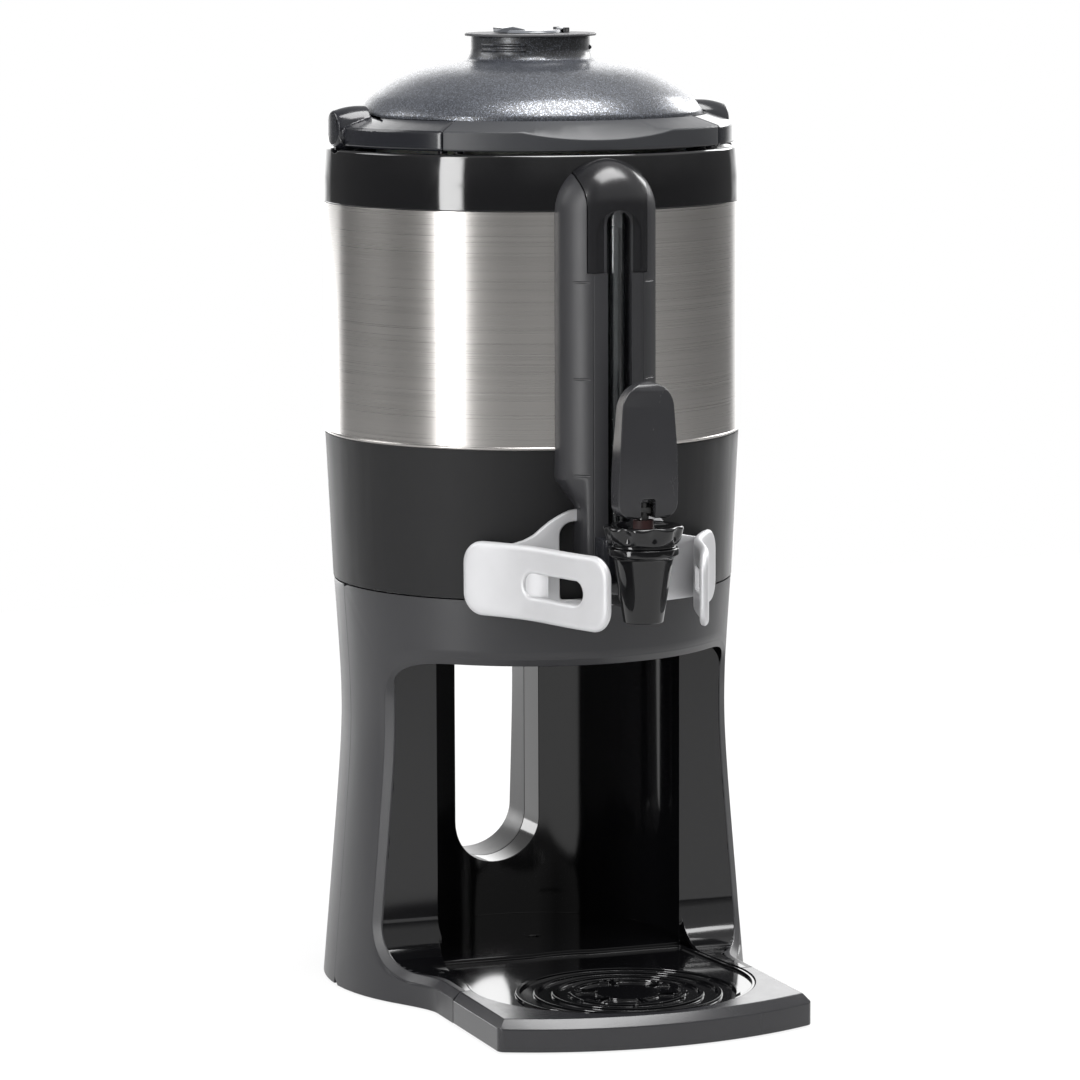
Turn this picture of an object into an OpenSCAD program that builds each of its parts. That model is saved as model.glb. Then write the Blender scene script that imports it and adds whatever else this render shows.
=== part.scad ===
// Insulated coffee urn standing on its own stand: a vacuum vessel in a steel jacket, a domed
// brew-through lid inside a bail handle, a sight gauge, a lever faucet between two guard wings,
// and a stand with a cup bay and a lift-out drip tray.
// Millimetres. Origin: the urn's axis at the surface that it stands on. Front is -Y, up is +Z.

/* [Urn body] */
// Outside radius of the steel jacket
jacket_r = 118; // [117:0.25:119]
// Height of the jacket's lower edge
jacket_z0 = 315.5; // [312:0.5:318]
// Height of the jacket's upper edge
jacket_z1 = 445.8; // [443:0.2:448]
// Outside radius of the lower shroud where it meets the stand
shroud_foot_r = 114; // [113:0.25:115]
// Height of the seam between the urn and its stand
seam_z = 231.5; // [230:0.5:233]
// Height of the collar's top edge
collar_z1 = 476.7; // [476.3:0.1:477]
// Thickness of the moulded plastic walls
wall = 3; // [2.5:0.1:3.5]

/* [Vessel] */
// Inside radius of the vacuum vessel
vessel_r = 105.6; // [103:0.2:107]
// Height of the vessel's inside bottom
vessel_z0 = 256; // [255:0.5:258]
// Radius of the vessel's mouth
mouth_r = 76; // [72:0.5:78]

/* [Lid and handle] */
// Radius of the dome at its rim
dome_r = 97.4; // [97:0.1:97.6]
// Outside radius of the neck on the dome
neck_r = 33.7; // [32:0.1:35]
// Height of the neck's top
neck_z = 538.2; // [536:0.2:540]
// Inside radius of the handle ring
ring_r_in = 98.4; // [98.2:0.1:98.8]
// Outside radius of the handle ring
ring_r_out = 115.3; // [114.5:0.1:116]
// Height of the handle's pivot axis
pivot_z = 488; // [487:0.25:489]
// Radius of the handle's pivot knuckle
ear_r = 12.8; // [12:0.1:13]
// Half angle of the grip at the front of the handle
grip_half_angle = 45; // [40:1:50]

/* [Gauge column] */
// Half width of the column at the body
column_w = 28.9; // [28:0.1:30]
// Distance of the column's front face from the axis
column_y = 139.6; // [139:0.1:141]
// Height of the column's rounded top
column_z1 = 474.6; // [472:0.2:475]
// Radius of the sight tube
tube_r = 4.75; // [4.5:0.05:5]

/* [Faucet and guard] */
// Distance of the spout's axis from the urn's axis
spout_y = 173.5; // [172:0.5:176]
// Height of the spout's mouth
spout_z = 226.8; // [226:0.2:229]
// Height of the shank that carries the faucet
shank_z = 242.5; // [242:0.1:243]
// Height of the guard's lower edge
guard_z0 = 224.3; // [223:0.1:226]
// Height of the guard wings' upper edge
guard_z1 = 265.6; // [264:0.2:267]
// Thickness of a guard wing
wing_t = 4.6; // [4:0.1:5]

/* [Stand] */
// Radius of the stand at its waist
waist_r = 110; // [109.5:0.1:110.5]
// Height of the waist
waist_z = 158; // [154:0.5:162]
// Spread of the stand below its waist, as a slope
flare_low = 0.087; // [0.08:0.001:0.09]
// Radius of the cup bay
bay_r = 79.1; // [78:0.1:79.5]
// Height of the top of the front opening
arch_z = 194; // [190:0.5:196]
// Half width of the rear window
window_w = 26; // [22:0.5:27]
// Half width of the drip tray's frame at the floor
tray_w = 91.5; // [90:0.5:93]
// Height of the frame's top
tray_z = 18.5; // [18:0.1:19.5]
// Distance of the frame's front edge from the axis
tray_front = 215; // [213:0.5:217]

/* [Hidden] */
$fn = 96;
eps = 0.01;
far = 400;                      // longer than any cut has to be

// Gaps between parts
slide_gap = 0.3;                // between pieces that move past each other
fit_gap = 0.05;                 // running fit of a pin in its bore
seam_gap = 0.4;                 // open line between two mouldings

// Stand
stand_z0 = 1;                   // the shells hang just clear of the floor
stand_steps = 24;
waist_blend = 25;               // softness of the waist
flare_up = 0.071;               // spread above the waist
bay_y = -13.5;                  // the bay's centre
bay_floor_z = 19;
bay_wall = 2.4;
post_y = -43;                   // front face of the two posts
arch_half = 104;                // half width of the front opening
arch_corner = 20;
sweep_r = 27;                   // sweep from a post into the wing
sweep_top_r = 18;
window_z0 = 51;
window_z1 = 186;
window_mid_y = 86;              // where the liner's frame meets the rear shell's
window_frame = 2.4;
tray_seam_y = -119.2;
tray_bevel = 5;
tray_bevel_x = 4.2;
tray_bow_r = 208;
tray_corner = 5;
insert_r = 80;                  // front arc of the drip tray
insert_y = -124;
insert_back_y = -46.3;
insert_back_w = 73.6;
insert_z0 = 12;                 // ledge that the tray rests on
ledge_t = 2.4;
ledge_w = 8;
rings_y = -150;
ring_radii = [62, 52, 42, 32];
disc_r = 18;
foot_r = 8;
foot_spots = [[0, 0], [-66, 66], [66, 66], [-78, -100], [78, -100], [-74, -178], [74, -178]];
plate_screw_spots = [[-93, 42], [93, 42], [-88, -64], [88, -64]];
boss_z0 = 4.6;                  // underside of the screw bosses in the shells
boss_z1 = 15;
deck_z = 226;
deck_t = 3.5;
deck_pad_r = 104;
deck_screw_r = 92;

// Urn body
cover_t = 2.6;
collar_foot_r = jacket_r + 0.6;
collar_top_r = jacket_r - 0.7;
ledge_z = 476;                  // shelf inside the collar that the lid rests on
ledge_thick = 3;
vessel_t = 0.8;
vacuum_gap = 5.6;
vessel_z1 = ledge_z - ledge_thick;
wall_z0 = vessel_z0 + 21;       // weld of the bottom and the wall
wall_z1 = vessel_z1 - 33;       // weld of the wall and the shoulder
outlet_y = -86;
outlet_bore = 5.5;
outlet_r = 7;

// Handle ring
ring_z0 = 478.3;
ring_z_out = 489.2;
ring_z_in = 494.5;
notch_r = ear_r + 1;
lug_half = 5;                   // half width of the collar's pivot lug
lug_x0 = 103;
lug_x1 = 107;
pin_r = 3;
handle_swing = 90;
scoop_r = 360;                  // roundness of the finger scoop
scoop_slope = 41.6;
scoop_y = 111.3;                // a point on the scoop at the front
scoop_z = 488.05;

// Lid
dome_t = 2.6;
stem_bore = 9;
stem_r = 10.5;
stem_z0 = 292;
hopper_r = 29;
flange_r = 37.2;
flange_t = 1.5;
flap_r = 19;
flap_hinge_x = 18.6;
flap_hinge_z = neck_z + flange_t + 1.5;

// Gauge column
column_low_w = 17.6;
column_z0 = 254;
column_bend = [284, 300];       // heights between which the column narrows
column_top_r = 20;
channel_w = 7;
channel_back = 126;
channel_z1 = 451;
cap_z0 = 413.8;
cap_w = 17.2;
cap_top_w = 19.2;
cap_proud = 0.2;
cap_t = 4.6;
cap_slot_w = 8.5;
cap_arch_r = 13.1;
cap_arch_z = 434.5;
tube_y = 133.5;
tube_wall = 1.3;
tube_z0 = 266;
tube_z1 = 446;
plug_z0 = 438;
fitting_z1 = 269.4;
tick_heights = [302.7, 355.6, 408.5];

// Guard
guard_plate_r = 117;
guard_plate_t = 3.2;
arch_hole_w = 26.7;
arch_hole_z = 276;
arch_hole_z0 = 232.8;
arch_top_z = 283.3;
guard_screw_x = 34;
guard_screw_z = 255;            // behind the wings' upper halves

// Faucet
bonnet_z0 = 269.8;
bonnet_z1 = 279.6;
bonnet_lobes = 8;
stem_top_z = 292;
lever_pivot_z = 288;
lever_pin_r = 1.6;
lever_foot_z = 283;

// ---- helpers ----

// Extrudes a shape drawn in X and Z along Y, from y0 to y1.
module along_y(y0, y1) {
    translate([0, y1, 0]) rotate([90, 0, 0]) linear_extrude(y1 - y0) children();
}

// Extrudes a shape drawn in Y and Z along X, from x0 to x1.
module along_x(x0, x1) {
    translate([x0, 0, 0]) rotate([90, 0, 90]) linear_extrude(x1 - x0) children();
}

// Repeats its children on both sides of the plane of symmetry.
module both_sides() {
    children();
    mirror([1, 0, 0]) children();
}

// Ring with a vertical wall.
module ring(r_out, r_in, z0, z1) {
    translate([0, 0, z0]) difference() {
        cylinder(r = r_out, h = z1 - z0);
        translate([0, 0, -1]) cylinder(r = r_in, h = z1 - z0 + 2);
    }
}

// Rectangle with round corners, from one corner to the other.
module round_rect(a, b, r) {
    translate([a[0] + r, a[1]]) square([b[0] - a[0] - 2 * r, b[1] - a[1]]);
    translate([a[0], a[1] + r]) square([b[0] - a[0], b[1] - a[1] - 2 * r]);
    for (x = [a[0] + r, b[0] - r], y = [a[1] + r, b[1] - r]) translate([x, y]) circle(r = r, $fn = 48);
}

// Points of an arc about a centre.
function arc(c, r, a0, a1, n) = [for (i = [0 : n]) let (a = a0 + (a1 - a0) * i / n) c + r * [cos(a), sin(a)]];

// Wedge about the axis, measured in degrees from the front towards +X.
module wedge(a0, a1, z0, z1) {
    reach = far / 2;
    translate([0, 0, z0]) linear_extrude(z1 - z0)
        polygon(concat([[0, 0]],
            [for (i = [0 : 8]) let (a = a0 + (a1 - a0) * i / 8) reach * [sin(a), -cos(a)]]));
}

// ---- stand ----

// Radius of the stand's outside at height z.
function stand_r(z) = waist_r + (z < waist_z ? flare_low : flare_up)
    * (sqrt(pow(z - waist_z, 2) + pow(waist_blend, 2)) - waist_blend);

module stand_form(inset, z0, z1) {
    rotate_extrude() polygon(concat(
        [[0, z0]],
        [for (i = [0 : stand_steps]) let (z = z0 + (z1 - z0) * i / stand_steps) [stand_r(z) - inset, z]],
        [[0, z1]]));
}

// Space in front of the posts: an arch from the front, swept into the wings at its foot.
module front_opening() {
    intersection() {
        along_y(-far, post_y + 1) polygon(concat(
            [[-arch_half - 16, 0], [-arch_half, 130]],
            arc([-arch_half + arch_corner, arch_z - arch_corner], arch_corner, 180, 90, 12),
            arc([arch_half - arch_corner, arch_z - arch_corner], arch_corner, 90, 0, 12),
            [[arch_half, 130], [arch_half + 16, 0]]));
        along_x(-far / 2, far / 2) polygon(concat(
            [[-far, tray_z]],
            arc([post_y - sweep_r, tray_z + sweep_r], sweep_r, -90, 0, 12),
            arc([post_y - sweep_top_r, arch_z - sweep_top_r], sweep_top_r, 0, 90, 10),
            [[-far, arch_z]]));
    }
}

module window_shape(grow) {
    z_round = window_z0 + window_w;
    hull_top = window_z1 + grow;
    corner = 12 + grow;
    translate([0, z_round]) circle(r = window_w + grow);
    translate([-window_w - grow, z_round]) square([2 * (window_w + grow), hull_top - corner - z_round]);
    translate([-window_w - grow + corner, z_round])
        square([2 * (window_w + grow - corner), hull_top - z_round]);
    for (s = [-1, 1]) translate([s * (window_w + grow - corner), hull_top - corner]) circle(r = corner);
}

// Outline of the drip tray, grown or shrunk by o.
module insert_outline(o) {
    edge = insert_r + o;
    translate([0, insert_y]) circle(r = edge, $fn = 160);
    polygon([
        [-insert_back_w - o, insert_back_y + o], [insert_back_w + o, insert_back_y + o],
        [edge - 2, insert_y + 14], [edge * 0.9, insert_y], [-edge * 0.9, insert_y],
        [-edge + 2, insert_y + 14]]);
}

module insert_block(o, z0, z1) {
    translate([0, 0, z0]) linear_extrude(z1 - z0) insert_outline(o);
}

// Pair of bosses with ribs, for the bottom plate's screws.
module screw_bosses(spot, z1) {
    both_sides() difference() {
        intersection() {
            translate([spot[0], spot[1], boss_z0]) union() {
                cylinder(r = 4.9, h = z1 - boss_z0);
                translate([0, -1.5, 0]) cube([40, 3, z1 - boss_z0]);
            }
            stand_form(1, stand_z0, 40);
        }
        translate([spot[0], spot[1], 0]) cylinder(r = 2.15, h = z1 - 2);
    }
}

// Ledge inside a shell that carries the top deck.
module deck_ledge() {
    difference() {
        stand_form(1, deck_z - 4, deck_z);
        cylinder(r = waist_r - 9, h = seam_z);
    }
}

// Side wall of one wing, with its bevelled top edge.
module wing_wall(o) {
    along_y(tray_seam_y, -40) polygon([
        [tray_w - o, stand_z0], [tray_w - o, tray_z - tray_bevel], [tray_w - tray_bevel_x - o, tray_z],
        [tray_w - tray_bevel_x - wall, tray_z], [tray_w - wall, tray_z - tray_bevel - 0.8],
        [tray_w - wall, stand_z0]]);
}

module base_front_shell() color("#3b3b3f") union() {
    front_moulding();
    screw_bosses(plate_screw_spots[3], boss_z1);
}

module front_moulding() difference() {
    union() {
        difference() {
            stand_form(0, stand_z0, seam_z - seam_gap);
            stand_form(wall, 0, seam_z);
        }
        difference() {
            both_sides() wing_wall(0);
            stand_form(wall - 1, 0, seam_z);
        }
        deck_ledge();
    }
    translate([-far / 2, 0, -1]) cube([far, far / 2, far]);
    front_opening();
    // The floor of the wings is open towards the tray.
    translate([-tray_w + wall, tray_seam_y - 5, 0])
        cube([2 * (tray_w - wall), 80, tray_z - tray_bevel - 0.8]);
    translate([-tray_w + tray_bevel_x + wall, tray_seam_y - 5, 0])
        cube([2 * (tray_w - tray_bevel_x - wall), 80, tray_z + eps]);
}

module base_rear_shell() color("#3b3b3f") difference() {
    union() {
        difference() {
            stand_form(0, stand_z0, seam_z - seam_gap);
            stand_form(wall, 0, seam_z);
        }
        deck_ledge();
        screw_bosses(plate_screw_spots[1], boss_z1);
        // Frame of the rear window, reaching in to the liner's frame.
        intersection() {
            along_y(window_mid_y, far / 2) window_shape(window_frame);
            stand_form(1, stand_z0, seam_z - seam_gap);
        }
    }
    translate([-far / 2, -far / 2, -1]) cube([far, far / 2, far]);
    along_y(window_mid_y - 5, far / 2) window_shape(0);
}

module bay_liner() color("#1d1b1e") difference() {
    union() {
        // Round back wall.
        difference() {
            translate([0, bay_y, insert_z0 + ledge_t])
                cylinder(r = bay_r + bay_wall, h = arch_z + bay_wall - insert_z0 - ledge_t);
            translate([-far / 2, -far - 40, 0]) cube([far, far + 40 + post_y, far]);
        }
        // Front faces of the posts, the floor of the wings and the sweep between them.
        intersection() {
            stand_form(wall + 0.15, insert_z0, arch_z + bay_wall);
            translate([-far / 2, post_y, insert_z0]) cube([far, bay_wall, far]);
        }
        intersection() {
            union() {
                stand_form(wall + 0.15, insert_z0, arch_z + bay_wall);
                translate([-tray_w + tray_bevel_x + wall + 0.15, tray_seam_y, 0])
                    cube([2 * (tray_w - tray_bevel_x - wall - 0.15), 60, tray_z]);
            }
            along_x(-far / 2, far / 2) difference() {
                polygon([
                    [tray_seam_y, tray_z - bay_wall], [post_y + bay_wall, tray_z - bay_wall],
                    [post_y + bay_wall, tray_z + sweep_r], [post_y, tray_z + sweep_r],
                    [tray_seam_y, tray_z + sweep_r]]);
                polygon(concat(
                    [[-far, tray_z]],
                    arc([post_y - sweep_r, tray_z + sweep_r], sweep_r, -90, 0, 12),
                    [[post_y, far], [-far, far]]));
                polygon(concat(
                    [[post_y - sweep_r, tray_z - 20]],
                    arc([post_y - sweep_r, tray_z + sweep_r], sweep_r + bay_wall, -90, 0, 12),
                    [[post_y + bay_wall, tray_z - 20]]));
            }
        }
        // Bay floor and the ledge that the drip tray rests on.
        intersection() {
            translate([0, bay_y, bay_floor_z - bay_wall]) cylinder(r = bay_r + 1, h = bay_wall);
            translate([-far / 2, insert_back_y + seam_gap, 0]) cube([far, far, far]);
        }
        translate([-66, insert_back_y - ledge_w, insert_z0 - ledge_t]) cube([132, ledge_w + 3, ledge_t]);
        translate([-66, insert_back_y + seam_gap, insert_z0 - ledge_t])
            cube([132, bay_wall, bay_floor_z - insert_z0]);
        both_sides() translate([insert_r - 6, tray_seam_y, insert_z0 - ledge_t])
            cube([8.6, 40, ledge_t]);
        both_sides() translate([insert_r + 0.9, tray_seam_y, insert_z0 - ledge_t])
            cube([1.7, 40, tray_z - insert_z0]);
        // Ceiling of the bay.
        translate([0, 0, arch_z]) cylinder(r = waist_r - wall - 0.3, h = bay_wall);
        // Frame of the rear window.
        along_y(bay_y + 60, window_mid_y - seam_gap) window_shape(window_frame);
    }
    // Inside of the bay.
    translate([0, bay_y, bay_floor_z]) cylinder(r = bay_r, h = arch_z - bay_floor_z);
    insert_block(seam_gap, insert_z0, far);
    along_y(0, far) window_shape(0);
    translate([-far / 2, -far, bay_floor_z + 40]) cube([far, far + post_y, arch_z - bay_floor_z - 40]);
    // Drain dimple.
    translate([0, 0, bay_floor_z - 0.8]) cylinder(r = 4, h = 5);
}

module bottom_plate() color("#2c2c30") difference() {
    union() {
        intersection() {
            translate([0, 0, stand_z0]) cylinder(r = stand_r(stand_z0) - wall - 0.3, h = 2);
            translate([-far / 2, -76, 0]) cube([far, far, 10]);
        }
        translate([-tray_w + wall + 0.3, tray_seam_y + 0.5, stand_z0])
            cube([2 * (tray_w - wall - 0.3), 62, 2]);
        for (p = plate_screw_spots) translate([p[0], p[1], stand_z0])
            cylinder(r = 4.9, h = boss_z0 - 0.2 - stand_z0);
    }
    for (p = plate_screw_spots) {
        translate([p[0], p[1], 0]) cylinder(r = 2.2, h = 10);
        translate([p[0], p[1], 0]) cylinder(r = 4.2, h = 3);
    }
    difference() {
        translate([-far / 2, -far / 2, 0]) cube([far, far, 10]);
        stand_form(wall + 0.3, 0, 12);
        translate([-tray_w + wall + 0.3, tray_seam_y, 0]) cube([2 * (tray_w - wall - 0.3), 80, 10]);
    }
}

module rubber_feet() color("#18181a") for (p = foot_spots)
    translate([p[0], p[1], 0]) cylinder(r = foot_r, h = stand_z0);

module plate_screws() color("#b9bbbe") for (p = plate_screw_spots) translate([p[0], p[1], 0]) {
    translate([0, 0, 1.2]) cylinder(r = 3.9, h = 1.8);
    translate([0, 0, 1.2]) cylinder(r = 2.1, h = 8);
}

module top_deck() color("#2c2c30") difference() {
    union() {
        translate([0, 0, deck_z]) cylinder(r = waist_r - 1.5, h = deck_t);
        ring(deck_pad_r, deck_pad_r - 6, deck_z, seam_z + seam_gap);
    }
    translate([0, 0, deck_z - 1]) cylinder(r = 70, h = 20);
    for (a = [45 : 90 : 315]) rotate(a) translate([deck_screw_r, 0, deck_z - 1]) cylinder(r = 2.6, h = 20);
}

module deck_screws() color("#b9bbbe") for (a = [45 : 90 : 315]) rotate(a) translate([deck_screw_r, 0, 0]) {
    translate([0, 0, deck_z - 2.6]) cylinder(r = 4.6, h = 2.6);
    translate([0, 0, deck_z - 2.6]) cylinder(r = 2.4, h = 15);
}

// Solid form of the drip tray's frame.
module frame_form(inset, z0, z1, bevel) {
    z_edge = z1 - bevel;
    // Corner round, tangent to the side and to the bowed front.
    bow_y = tray_bow_r - tray_front;
    corner_x = tray_w - inset - tray_corner;
    corner_y = bow_y - sqrt(pow(tray_bow_r - inset - tray_corner, 2) - pow(corner_x, 2));
    corner_way = [corner_x, corner_y - bow_y] / norm([corner_x, corner_y - bow_y]);
    reach = 3 * tray_corner;
    intersection() {
        translate([0, bow_y, 0]) rotate_extrude($fn = 240) polygon([
            [0, z0], [tray_bow_r - inset, z0], [tray_bow_r - inset, z_edge],
            [tray_bow_r - bevel - inset, z1], [0, z1]]);
        along_y(-far, tray_seam_y - seam_gap) polygon([
            [-tray_w + inset, z0], [-tray_w + inset, z_edge],
            [-tray_w + inset + bevel * tray_bevel_x / tray_bevel, z1],
            [tray_w - inset - bevel * tray_bevel_x / tray_bevel, z1], [tray_w - inset, z_edge],
            [tray_w - inset, z0]]);
        translate([0, 0, z0]) linear_extrude(z1 - z0) {
            translate([-corner_x, -far]) square([2 * corner_x, far]);
            translate([-tray_w, corner_y]) square([2 * tray_w, 120]);
            both_sides() {
                translate([corner_x, corner_y]) circle(r = tray_corner);
                polygon([[corner_x, corner_y], [corner_x, corner_y + reach * corner_way[1]],
                    [corner_x, corner_y] + reach * corner_way]);
            }
        }
    }
}

module tray_frame() color("#4a4a4f") difference() {
    union() {
        difference() {
            frame_form(0, stand_z0, tray_z, tray_bevel);
            translate([0, 4, 0]) frame_form(wall + 1, 0, insert_z0 - ledge_t, 0);
        }
        for (p = foot_spots) if (p[1] < tray_seam_y - foot_r)
            translate([p[0], p[1], stand_z0])
                cylinder(r = foot_r + 1, h = insert_z0 - ledge_t - stand_z0 + eps);
    }
    insert_block(-ledge_w, 0, far);
    insert_block(seam_gap, insert_z0, far);
}

module drip_tray() color("#141316") {
    plate_z = insert_z0 + 4.4;
    difference() {
        insert_block(0, insert_z0 + 0.02, tray_z - 0.6);
        insert_block(-2, insert_z0 - 1, plate_z - 2);
        insert_block(-1.6, plate_z, far);
    }
    intersection() {
        insert_block(-4, 0, far);
        translate([0, rings_y, plate_z - eps]) union() {
            for (r = ring_radii) ring(r, r - 2.4, 0, tray_z - 0.5 - plate_z);
            cylinder(r = disc_r, h = tray_z - 0.9 - plate_z);
            for (a = [0 : 60 : 300]) rotate(a + 30) {
                translate([disc_r - 1, -1.2, 0]) cube([ring_radii[3] - disc_r, 2.4, tray_z - 0.6 - plate_z]);
                translate([26, 0, 0]) for (s = [-1, 1]) rotate(s * 55)
                    translate([0, -1, 0]) cube([10, 2, tray_z - 0.7 - plate_z]);
            }
        }
    }
}

// ---- urn body ----

module bottom_cover() color("#2c2c30") difference() {
    union() {
        translate([0, 0, seam_z + seam_gap]) cylinder(r = shroud_foot_r - wall - 0.3, h = cover_t);
        for (a = [45 : 90 : 315]) rotate(a) translate([deck_screw_r, 0, seam_z + seam_gap])
            cylinder(r = 5, h = 8);
    }
    for (a = [45 : 90 : 315]) rotate(a) translate([deck_screw_r, 0, 0])
        cylinder(r = 2.4 + fit_gap, h = seam_z + 8);
    // Relief for the shank.
    translate([-16, -far / 2, seam_z - 1]) cube([32, far / 2 - 100, 20]);
}

// Outside of the shroud, grown outwards by o.
module shroud_form(o, z0, z1) {
    slope = (jacket_r - shroud_foot_r) / (jacket_z0 - seam_z);
    r0 = shroud_foot_r + slope * (z0 - seam_z);
    r1 = shroud_foot_r + slope * (z1 - seam_z);
    translate([0, 0, z0]) cylinder(r1 = r0 + o, r2 = r1 + o, h = z1 - z0);
}

module lower_shroud() color("#3a3a3d") difference() {
    union() {
        difference() {
            shroud_form(0, seam_z + seam_gap, jacket_z0 - 0.5);
            shroud_form(-wall, seam_z, jacket_z0);
        }
        // Step that centres the jacket.
        ring(jacket_r - 1.2, jacket_r - 4, jacket_z0 - 5, jacket_z0 + 5);
    }
    along_y(-far, 0) translate([0, shank_z]) circle(r = 9.8);
    for (s = [-1, 1]) along_y(-far, 0) translate([s * guard_screw_x, guard_screw_z]) circle(r = 1.9);
}

module steel_jacket() color("#b4b0aa") {
    ring(jacket_r, jacket_r - 0.8, jacket_z0, jacket_z1);
    // Rolled lower edge.
    rotate_extrude() translate([jacket_r - 0.1, jacket_z0 + 0.7]) circle(r = 0.7, $fn = 24);
}

module top_collar() color("#17171a") difference() {
    union() {
        rotate_extrude() polygon([
            [collar_foot_r, jacket_z1 + 0.3], [collar_foot_r - 0.1, 460], [collar_top_r, collar_z1 - 1],
            [collar_top_r - 1, collar_z1], [jacket_r - 3.6, collar_z1], [jacket_r - 3.6, ledge_z],
            [mouth_r - 0.5, ledge_z], [mouth_r - 0.5, ledge_z - ledge_thick],
            [jacket_r - 3.6, ledge_z - ledge_thick],
            [jacket_r - 3.6, jacket_z1 - 6], [jacket_r - 1.2, jacket_z1 - 6],
            [jacket_r - 1.2, jacket_z1 + 0.3]]);
        // Lugs that hold the handle's pivots.
        both_sides() along_x(lug_x0, lug_x1) {
            translate([-lug_half, 466]) square([2 * lug_half, pivot_z - 466]);
            translate([0, pivot_z]) circle(r = lug_half);
        }
    }
    both_sides() difference() {
        along_x(ring_r_in - 3, far / 2) translate([0, pivot_z]) circle(r = notch_r);
        along_x(lug_x0, lug_x1) {
            translate([-lug_half, 466]) square([2 * lug_half, pivot_z - 466]);
            translate([0, pivot_z]) circle(r = lug_half);
        }
    }
    both_sides() along_x(lug_x0 - 2, lug_x1 + 2) translate([0, pivot_z]) circle(r = pin_r + fit_gap);
    for (a = [150, 210]) rotate(a) translate([0, -106, 0]) cylinder(r = 1.9, h = far * 2);
}

// Section of the handle ring and of the fixed rim behind it.
module ring_section() {
    polygon([
        [ring_r_in, ring_z0 + 1], [ring_r_in + 1, ring_z0], [ring_r_out - 0.8, ring_z0],
        [ring_r_out, ring_z0 + 0.8],
        [ring_r_out, ring_z_out - 0.6], [ring_r_out - 0.7, ring_z_out + 0.2], [ring_r_in + 0.8, ring_z_in],
        [ring_r_in, ring_z_in - 0.6]]);
}

module rear_rim() color("#2f2f33") difference() {
    union() {
        intersection() {
            rotate_extrude() ring_section();
            wedge(98, 262, 470, 510);
        }
        intersection() {
            ring(112, 99.5, ledge_z, ring_z0 + 1);
            wedge(99, 261, 470, 510);
        }
    }
    for (a = [150, 210]) rotate(a) translate([0, -106, 0]) cylinder(r = 1.9, h = ring_z0 + 7);
}

module rim_screws() color("#b9bbbe") for (a = [150, 210]) rotate(a) translate([0, -106, 0]) {
    translate([0, 0, ledge_z - ledge_thick - 2.2]) cylinder(r = 3.6, h = 2.2);
    translate([0, 0, ledge_z - ledge_thick - 2.2]) cylinder(r = 1.85, h = 14);
}

// Solid of revolution of the vessel, grown outwards by o.
module vessel_form(o) {
    foot = 20;
    shoulder = 26;
    rotate_extrude() polygon(concat(
        [[0, vessel_z0 - o]],
        arc([vessel_r - foot, vessel_z0 + foot], foot + o, -90, 0, 10),
        arc([vessel_r - shoulder, vessel_z1 - 6 - shoulder], shoulder + o, 0, 90, 10),
        [[mouth_r + o, vessel_z1 - 6 + o], [mouth_r + o, vessel_z1], [0, vessel_z1]]));
}

// The inner vessel is welded from a drawn bottom, a rolled wall and a spun shoulder.
module vessel_bottom() color("#c4c4c2") difference() {
    intersection() {
        vessel_form(vessel_t);
        cylinder(r = far, h = wall_z0);
    }
    vessel_form(0);
    translate([0, outlet_y, vessel_z0 - 5]) cylinder(r = outlet_bore, h = 10);
}

module vessel_wall() color("#c4c4c2") ring(vessel_r + vessel_t, vessel_r, wall_z0, wall_z1);

module vessel_shoulder() color("#c4c4c2") difference() {
    union() {
        intersection() {
            vessel_form(vessel_t);
            translate([0, 0, wall_z1]) cylinder(r = far, h = far);
        }
        ring(mouth_r + 5.6, mouth_r, vessel_z1 - 0.8, vessel_z1);
    }
    vessel_form(0);
    translate([0, 0, vessel_z1 - 5]) cylinder(r = mouth_r, h = 10);
}

module vessel_outer() color("#a8a8a6") difference() {
    intersection() {
        vessel_form(vacuum_gap);
        cylinder(r = far, h = vessel_z1 - 0.8);
    }
    vessel_form(vacuum_gap - vessel_t);
    translate([0, outlet_y, vessel_z0 - 10]) cylinder(r = outlet_r + 0.1, h = 20);
}

module vessel_seat() color("#8c8a80") {
    z0 = seam_z + seam_gap + cover_t;
    difference() {
        ring(84, 66, z0, vessel_z0 - vacuum_gap);
        wedge(-25, 25, 0, far);
    }
}

module outlet_elbow() color("#c8c8c6") difference() {
    union() {
        translate([0, outlet_y, shank_z]) sphere(r = outlet_r);
        translate([0, outlet_y, shank_z]) cylinder(r = outlet_r, h = vessel_z0 - vessel_t - shank_z);
        along_y(-104, outlet_y) translate([0, shank_z]) circle(r = outlet_r);
    }
    translate([0, outlet_y, shank_z]) sphere(r = outlet_bore);
    translate([0, outlet_y, shank_z]) cylinder(r = outlet_bore, h = 40);
    along_y(-110, outlet_y) translate([0, shank_z]) circle(r = outlet_bore);
}

// ---- faucet ----

module faucet_shank() color("#c8c8c6") difference() {
    union() {
        along_y(-150, -104) translate([0, shank_z]) circle(r = 9.5);
        along_y(-109.4, -106.4) translate([0, shank_z]) circle(r = 12.8);
    }
    along_y(-160, -100) translate([0, shank_z]) circle(r = outlet_bore);
    gauge_passage();
}

// Passage that feeds the sight tube from the shank.
module gauge_passage() {
    translate([0, -tube_y, shank_z]) cylinder(r = 2.6, h = 30);
}

module shank_washer() color("#1b1b1b") difference() {
    along_y(-122.6, -108) difference() {
        translate([0, shank_z]) circle(r = 14);
        translate([0, shank_z]) circle(r = 9.6);
    }
    shroud_form(0.02, seam_z - 10, jacket_z0);
    translate([-20, -130, 220]) cube([40, 30, arch_hole_z0 - 220]);
}

module shank_nut() color("#222226") along_y(-130.4, -122.6) difference() {
    translate([0, shank_z]) circle(r = 13.6, $fn = 6);
    translate([0, shank_z]) circle(r = 9.55);
}

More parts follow.
